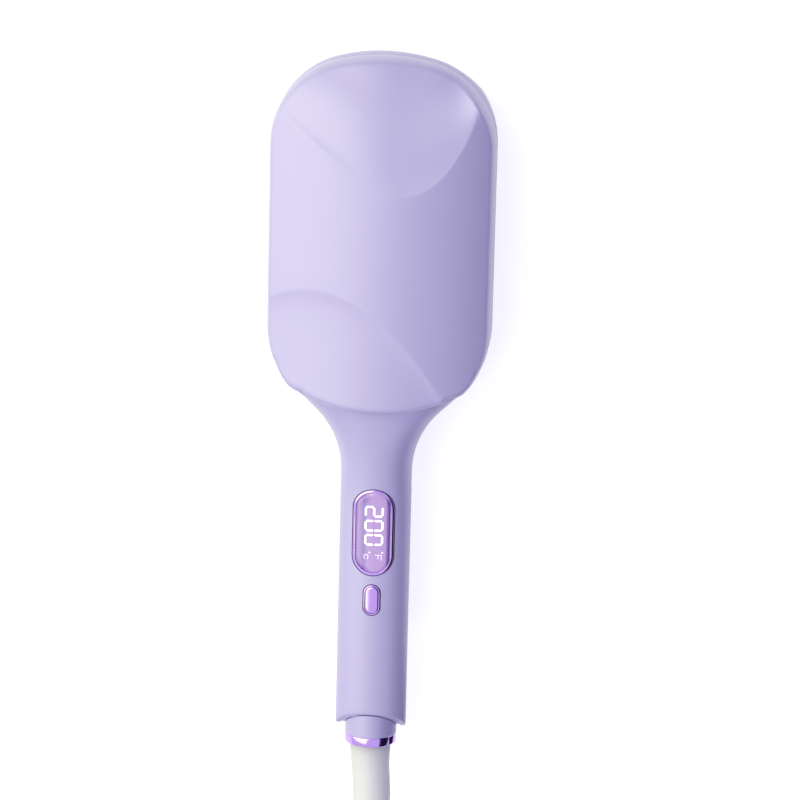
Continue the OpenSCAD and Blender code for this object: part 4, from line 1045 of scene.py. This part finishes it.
class WAVER_OT_handle(bpy.types.Operator):
    """Builds the handle: its upper shell with the neck, and its underside"""

    bl_idname = "waver.handle"
    bl_label = "Handle"

    def execute(self, context):
        material = look("body")
        upper = self.add_half("Handle_upper", [HEEL_END[1] - 1.2 * i for i in range(64)], half_w, neck_h,
                              fullness, 1)
        for middle, w, l in ((DISPLAY_Y, DISPLAY_W, DISPLAY_L), (BUTTON_Y, BUTTON_W, BUTTON_L)):
            cut(upper, prism([(x, y + middle) for x, y in stadium(w, l)], PARTING + 2, 60))
        finish_piece(upper, "handle", "body", material, "handle_upper_shell")
        start = HINGE_Y - 12
        lower = self.add_half("Handle_lower", [start - i for i in range(24)], lambda y: HANDLE_HW,
                              lambda y: max(0.6, under_d(y)), lambda y: 2.4, -1)
        for y in HANDLE_SCREW_YS:
            cut(lower, prism(disc(0, y, SCREW_HEAD_R), -5, PARTING - 3.4))
        tubes = [self.add_tube(y) for y in HANDLE_SCREW_YS]
        finish_piece(join([lower, self.add_floor(), *tubes]), "handle", "body", material, "handle_lower_shell")
        return {"FINISHED"}

    def add_half(self, name, first_ys, width, height, full, side):
        """Half of the handle's round body, with a slanted tail end whose edge is rounded."""
        slant_from, edge, n = -118.0, 0.9, 30
        last = first_ys[-1]
        ys = first_ys + [mix(last, slant_from, i / 10) for i in range(1, 11)]
        ys += [mix(slant_from, TAIL_Y + edge, i / 16) for i in range(1, 17)]
        steps = [(y, 0.0) for y in ys]
        steps += [(TAIL_Y + edge * (1 - sin_d(a)), edge * (1 - cos_d(a))) for a in (30, 60, 90)]

        def grid(thickness):
            rows = []
            for y, inset in steps:
                t, drawn = thickness or inset, tuck(y) if side > 0 else 0.0
                w = width(y) - drawn - t
                h = height(y) - drawn / 5 - min(t, height(y) / 2)
                lean = TAIL_SLANT * clip((slant_from - y) / (slant_from - TAIL_Y), 0.0, 1.0)
                rows.append([(x, y + lean * k, PARTING + side * (PART_GAP + z)) for x, z, k in
                             half_section(w, h, full(y), n)])
            return rows

        return shell(name, grid(0.0), grid(SHELL_T))

    def add_tube(self, y):
        depth = under_d(y)
        rings = []
        for r, z in ((SCREW_HEAD_R, 0.5 - depth), (4.2, 0.9 - depth), (4.2, -0.5), (1.6, -0.5), (1.6, -4.1),
                     (SCREW_HEAD_R, -4.1)):
            rings.append([(px, py, PARTING + z) for px, py in disc(0, y, r)])
        return loft("tube", rings + [rings[0]])

    def add_floor(self):
        """The flat floor of the neck, which the hinge's ears pass through."""
        y0, y1, inset, steps = HINGE_Y - 12, HEEL_END[1], SHELL_T + 1.3, 24
        side = [(half_w(y) - inset - tuck(y), y) for y in (mix(y0, y1, i / steps) for i in range(steps + 1))]
        floor = prism(side + [(-x, y) for x, y in reversed(side)], PARTING + 0.3, PARTING + 2.7, "floor")
        for x in (-EAR_X, EAR_X):
            cut(floor, prism(oblong(x, HINGE_Y - 5.3, 3.3, 10.6), PARTING - 5, PARTING + 8))
        return join([floor, prism(oblong(0, y0 - 2.5, 24, 3.5), PARTING - 0.5, PARTING + 2.6, "rib")])


class WAVER_OT_lever(bpy.types.Operator):
    """Builds the squeeze lever under the handle"""

    bl_idname = "waver.lever"
    bl_label = "Lever"

    def execute(self, context):
        material = look("body")
        ys = [HEEL_END[1] - 1.5 * i for i in range(74)]
        ys += [LEVER_Y + LEVER_ROUND * (1 - sin_d(a)) for a in range(0, 91, 6)]
        ys = sorted({round(y, 3) for y in ys if y >= LEVER_Y}, reverse=True)
        squash = (HEEL_END[1] - LEVER_Y - SHELL_T) / (HEEL_END[1] - LEVER_Y)

        def grid(t, share):
            rows = []
            for y in ys:
                top = lever_top_z(y)
                section = half_section(lever_half_w(y) - t, top - lever_under(y) - t, lever_full(y), 26)
                rows.append([(x, HEEL_END[1] + (y - HEEL_END[1]) * share, top - z) for x, z, _ in section])
            return rows

        lever = shell("Lever", grid(0.0, 1.0), grid(SHELL_T, squash))
        for y in LEVER_SCREW_YS:
            cut(lever, prism(disc(0, y, SCREW_HEAD_R), -5, lever_under(y) + 1.9))
        finish_piece(lever, "lower_jaw", "body", material, "lever_shell")
        dress_node("lever_cover", material, 0.4)
        return {"FINISHED"}


def add_surround(name, w, l, y, ring, depth, bevel, node):
    """A plated frame laid on the handle, and round it a dark strip that paints the shadow in the gap."""
    frame = add_frame(f"{name}_frame", w - 2 * GAP_SHADOW_W, l - 2 * GAP_SHADOW_W, y, ring, depth, (*bevel, (ring, 0.0)))
    finish_piece(frame, "handle", "plated", look("plated"), node)
    # Painted shadow: a dark strip in the gap between the frame and the handle
    seal = add_frame(f"{name}_seal", w, l, y, GAP_SHADOW_W, GAP_SHADOW_DEPTH, ((0.0, GAP_SHADOW_UP), (GAP_SHADOW_W, GAP_SHADOW_UP)))
    finish_piece(seal, "handle", "black", look("seal"))


class WAVER_OT_display(bpy.types.Operator):
    """Builds the display: its plated frame, its lens and the lit figures"""

    bl_idname = "waver.display"
    bl_label = "Display"

    def execute(self, context):
        w, l = DISPLAY_W - 2 * FIT_GAP, DISPLAY_L - 2 * FIT_GAP
        bevel = ((0.0, -0.3), (0.02, 0.08), (0.08, 0.19), (0.2, 0.25), (0.85, 0.4), (0.97, 0.4), (1.08, 0.32))
        add_surround("Display", w, l, DISPLAY_Y, BEZEL_RING - GAP_SHADOW_W, 3.6, bevel, "display_bezel")
        inset = BEZEL_RING + 0.05
        edge = ((0.0, -0.3), (0.1, -0.16), (1.05, 0.04), (1.3, 0.1))
        lens = add_dome("Display_lens", w - 2 * inset, l - 2 * inset, DISPLAY_Y, edge, 1.2)
        finish_piece(lens, "handle", "lens", lens_with_painted_reflection(), "display_lens")
        sizes = context.scene.waver_sizes
        height = sizes.figure_height / MM
        shapes = []
        for i, digit in enumerate(f"{sizes.reading:03d}"):
            start = FIGURE_PITCH * i - DISPLAY_Y - FIGURES_BACK
            shapes += seven_segment(digit, start, FIGURE_MID - height / 2, FIGURE_W, height)
        finish_piece(self.add_figures("Figures", shapes), "handle", "lens", lit_finish("Lit figures", 0.0, 1.0))
        u = SIGNS_ON - DISPLAY_Y
        shapes = strokes(DEGREE_C, u, -3.9, 3.4) + strokes(DEGREE_F, u, 1.0, 3.9)
        signs = self.add_figures("Unit_signs", shapes)
        finish_piece(signs, "handle", "lens", lit_finish("Dim figures", 0.35, 0.7))
        return {"FINISHED"}

    def add_figures(self, name, shapes):
        """Flat figures on the lens, read from the tail's side."""
        points, faces = [], []
        for outline in (s for shape in shapes for s in slices(shape) if len(s) > 2):
            faces.append(tuple(len(points) + i for i in range(len(outline))))
            points += [on_handle(v, -u, FIGURE_UP) for u, v in outline]
        return new_object(name, points, faces)


class WAVER_OT_button(bpy.types.Operator):
    """Builds the push button and its plated surround"""

    bl_idname = "waver.button"
    bl_label = "Button"

    def execute(self, context):
        w, l = BUTTON_W - 2 * FIT_GAP, BUTTON_L - 2 * FIT_GAP
        bevel = ((0.0, -0.3), (0.02, 0.14), (0.06, 0.22), (0.12, 0.26), (0.4, 0.36), (0.48, 0.35), (0.56, 0.26))
        add_surround("Button", w, l, BUTTON_Y, BUTTON_RING - GAP_SHADOW_W, 3.7, bevel, "button_bezel")
        edge = ((0.0, 0.05), (0.06, 0.25), (0.2, 0.42), (0.45, 0.54), (0.8, 0.6))
        cap = add_dome("Button_cap", w - 2.0, l - 2.0, BUTTON_Y, edge, 5.2)
        finish_piece(cap, "button", "plated", look("plated"), "power_button")
        return {"FINISHED"}


class WAVER_OT_tail(bpy.types.Operator):
    """Builds the plated end ring and the strain relief"""

    bl_idname = "waver.tail"
    bl_label = "Tail"

    def execute(self, context):
        edge, bore = 0.5, 9.7
        far, flat_r = RING_Y + RING_L - 0.05, COLLAR_R - edge
        ring = [(bore, far), (flat_r, far)]
        ring += [(flat_r + edge * sin_d(a), far - edge + edge * cos_d(a)) for a in (30, 60, 90)]
        ring += [(flat_r + edge * cos_d(a), RING_Y + edge - edge * sin_d(a)) for a in (0, 30, 60, 90)]
        ring += [(bore, RING_Y), (bore, far)]
        finish_piece(revolve("End_ring", ring, 128), "handle", "plated", look("plated"), "collar_ring")
        boot = revolve("Strain_relief", self.relief_profile(), 72, self.relief_bend)
        finish_piece(boot, "swivel", "cord", look("cord"), "strain_relief")
        dress_node("tail_collar", look("body"))
        return {"FINISHED"}

    def relief_profile(self):
        """Points (radius, y) of the relief: a rounded root, a slight waist, a long even part and its nose."""
        start, core, root_r, waist_r, nose_r = RING_Y - 0.05, 0.5, 9.35, 8.65, 4.0
        points = [(core, start), (8.6, start), (9.1, start - 0.15), (root_r, start - 0.5), (root_r, start - 1.2)]
        points += [(mix(root_r, waist_r, ease(i, 0, 10)), start - 1.2 - 1.2 * i) for i in range(1, 11)]
        points += [(waist_r, start - 13.2 - 1.8 * i) for i in range(1, 10)]
        points += [(mix(waist_r, nose_r, ease(i, 0, 24)), mix(start - 29.4, start - BOOT_L, i / 24))
                   for i in range(1, 25)]
        return points + [(core, start - BOOT_L)]

    def relief_bend(self, y):
        """How far the relief's middle lies to the right, as it does in the photograph."""
        return 1.1 * ease(-y, 164, 188) * ease(y, -219, -196)


class WAVER_OT_inside(bpy.types.Operator):
    """Gives the plates, the hinge, the heaters and the other inner pieces their materials"""

    bl_idname = "waver.inside"
    bl_label = "Inner pieces"

    def execute(self, context):
        looks = (
            ("glaze", 0.15, ("upper_plate", "lower_plate")),
            ("resin", 0.3, ("upper_carrier", "lower_carrier", "lever_frame", "display_module", "swivel_spigot",
                            "tact_switch", "thermostat")),
            ("ceramic", 0.2, ("upper_heater", "lower_heaters", "thermal_cutout")),
            ("steel", 0.1, ("upper_heater_clamp", "lower_heater_clamps", "carrier_screws", "lower_carrier_screws",
                            "handle_screws", "lever_screws", "hinge_bracket", "hinge_pin")),
            ("brass", 0.1, ("hinge_bushes", "swivel_keeper")),
            ("board", 0.1, ("main_pcb",)),
        )
        for key, bevel, nodes in looks:
            for node in nodes:
                dress_node(node, look(key), bevel)
        self.add_spring()
        return {"FINISHED"}

    def add_spring(self):
        """The hinge's torsion spring: one leg on the handle, one on the lever, coils that wind up between."""
        half, r, steps = 5.0, 4.1, 24 * SPRING_TURNS + 12
        coil = []
        for i in range(steps + 1):
            a = 90 - 15 * i
            coil.append((mix(-half, half, i / steps), HINGE_Y + r * cos_d(a), HINGE_Z + r * sin_d(a)))
        path = [(-half, HINGE_Y - 11, PARTING - 0.4), (-half, HINGE_Y - 4, HINGE_Z + r + 1.2)] + coil
        path += [(half, HINGE_Y - 4, HINGE_Z - r - 0.2), (half, HINGE_Y - 11, 11.9)]
        spring = wire("Jaw_spring", path, SPRING_WIRE / 2)
        spring.data.materials.append(look("steel"))
        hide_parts("return_spring")
        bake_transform(spring)


class WAVER_PT_panel(bpy.types.Panel):
    """Lists the waver's pieces and settings"""

    bl_label = "Hair waver"
    bl_idname = "WAVER_PT_panel"
    bl_space_type = "VIEW_3D"
    bl_region_type = "UI"
    bl_category = "Waver"

    def draw(self, context):
        layout = self.layout
        for group in (context.scene.waver_colours, context.scene.waver_sizes):
            box = layout.box()
            for key in type(group).__annotations__:
                box.prop(group, key)
        for step in BUILD_ORDER:
            layout.operator(f"waver.{step}")


CLASSES = (WaverColours, WaverSizes, WAVER_OT_stage, WAVER_OT_tail, WAVER_OT_cord, WAVER_OT_heads,
           WAVER_OT_handle, WAVER_OT_display, WAVER_OT_button, WAVER_OT_lever, WAVER_OT_inside, WAVER_PT_panel)
BUILD_ORDER = ("stage", "tail", "cord", "heads", "handle", "display", "button", "lever", "inside")


def register():
    for cls in CLASSES:
        bpy.utils.register_class(cls)
    bpy.types.Scene.waver_colours = bpy.props.PointerProperty(type=WaverColours)
    bpy.types.Scene.waver_sizes = bpy.props.PointerProperty(type=WaverSizes)


def unregister():
    del bpy.types.Scene.waver_sizes
    del bpy.types.Scene.waver_colours
    for cls in reversed(CLASSES):
        bpy.utils.unregister_class(cls)


def main():
    register()
    for step in BUILD_ORDER:
        getattr(bpy.ops.waver, step)()
    bpy.context.view_layer.update()


if __name__ == "__main__":
    main()
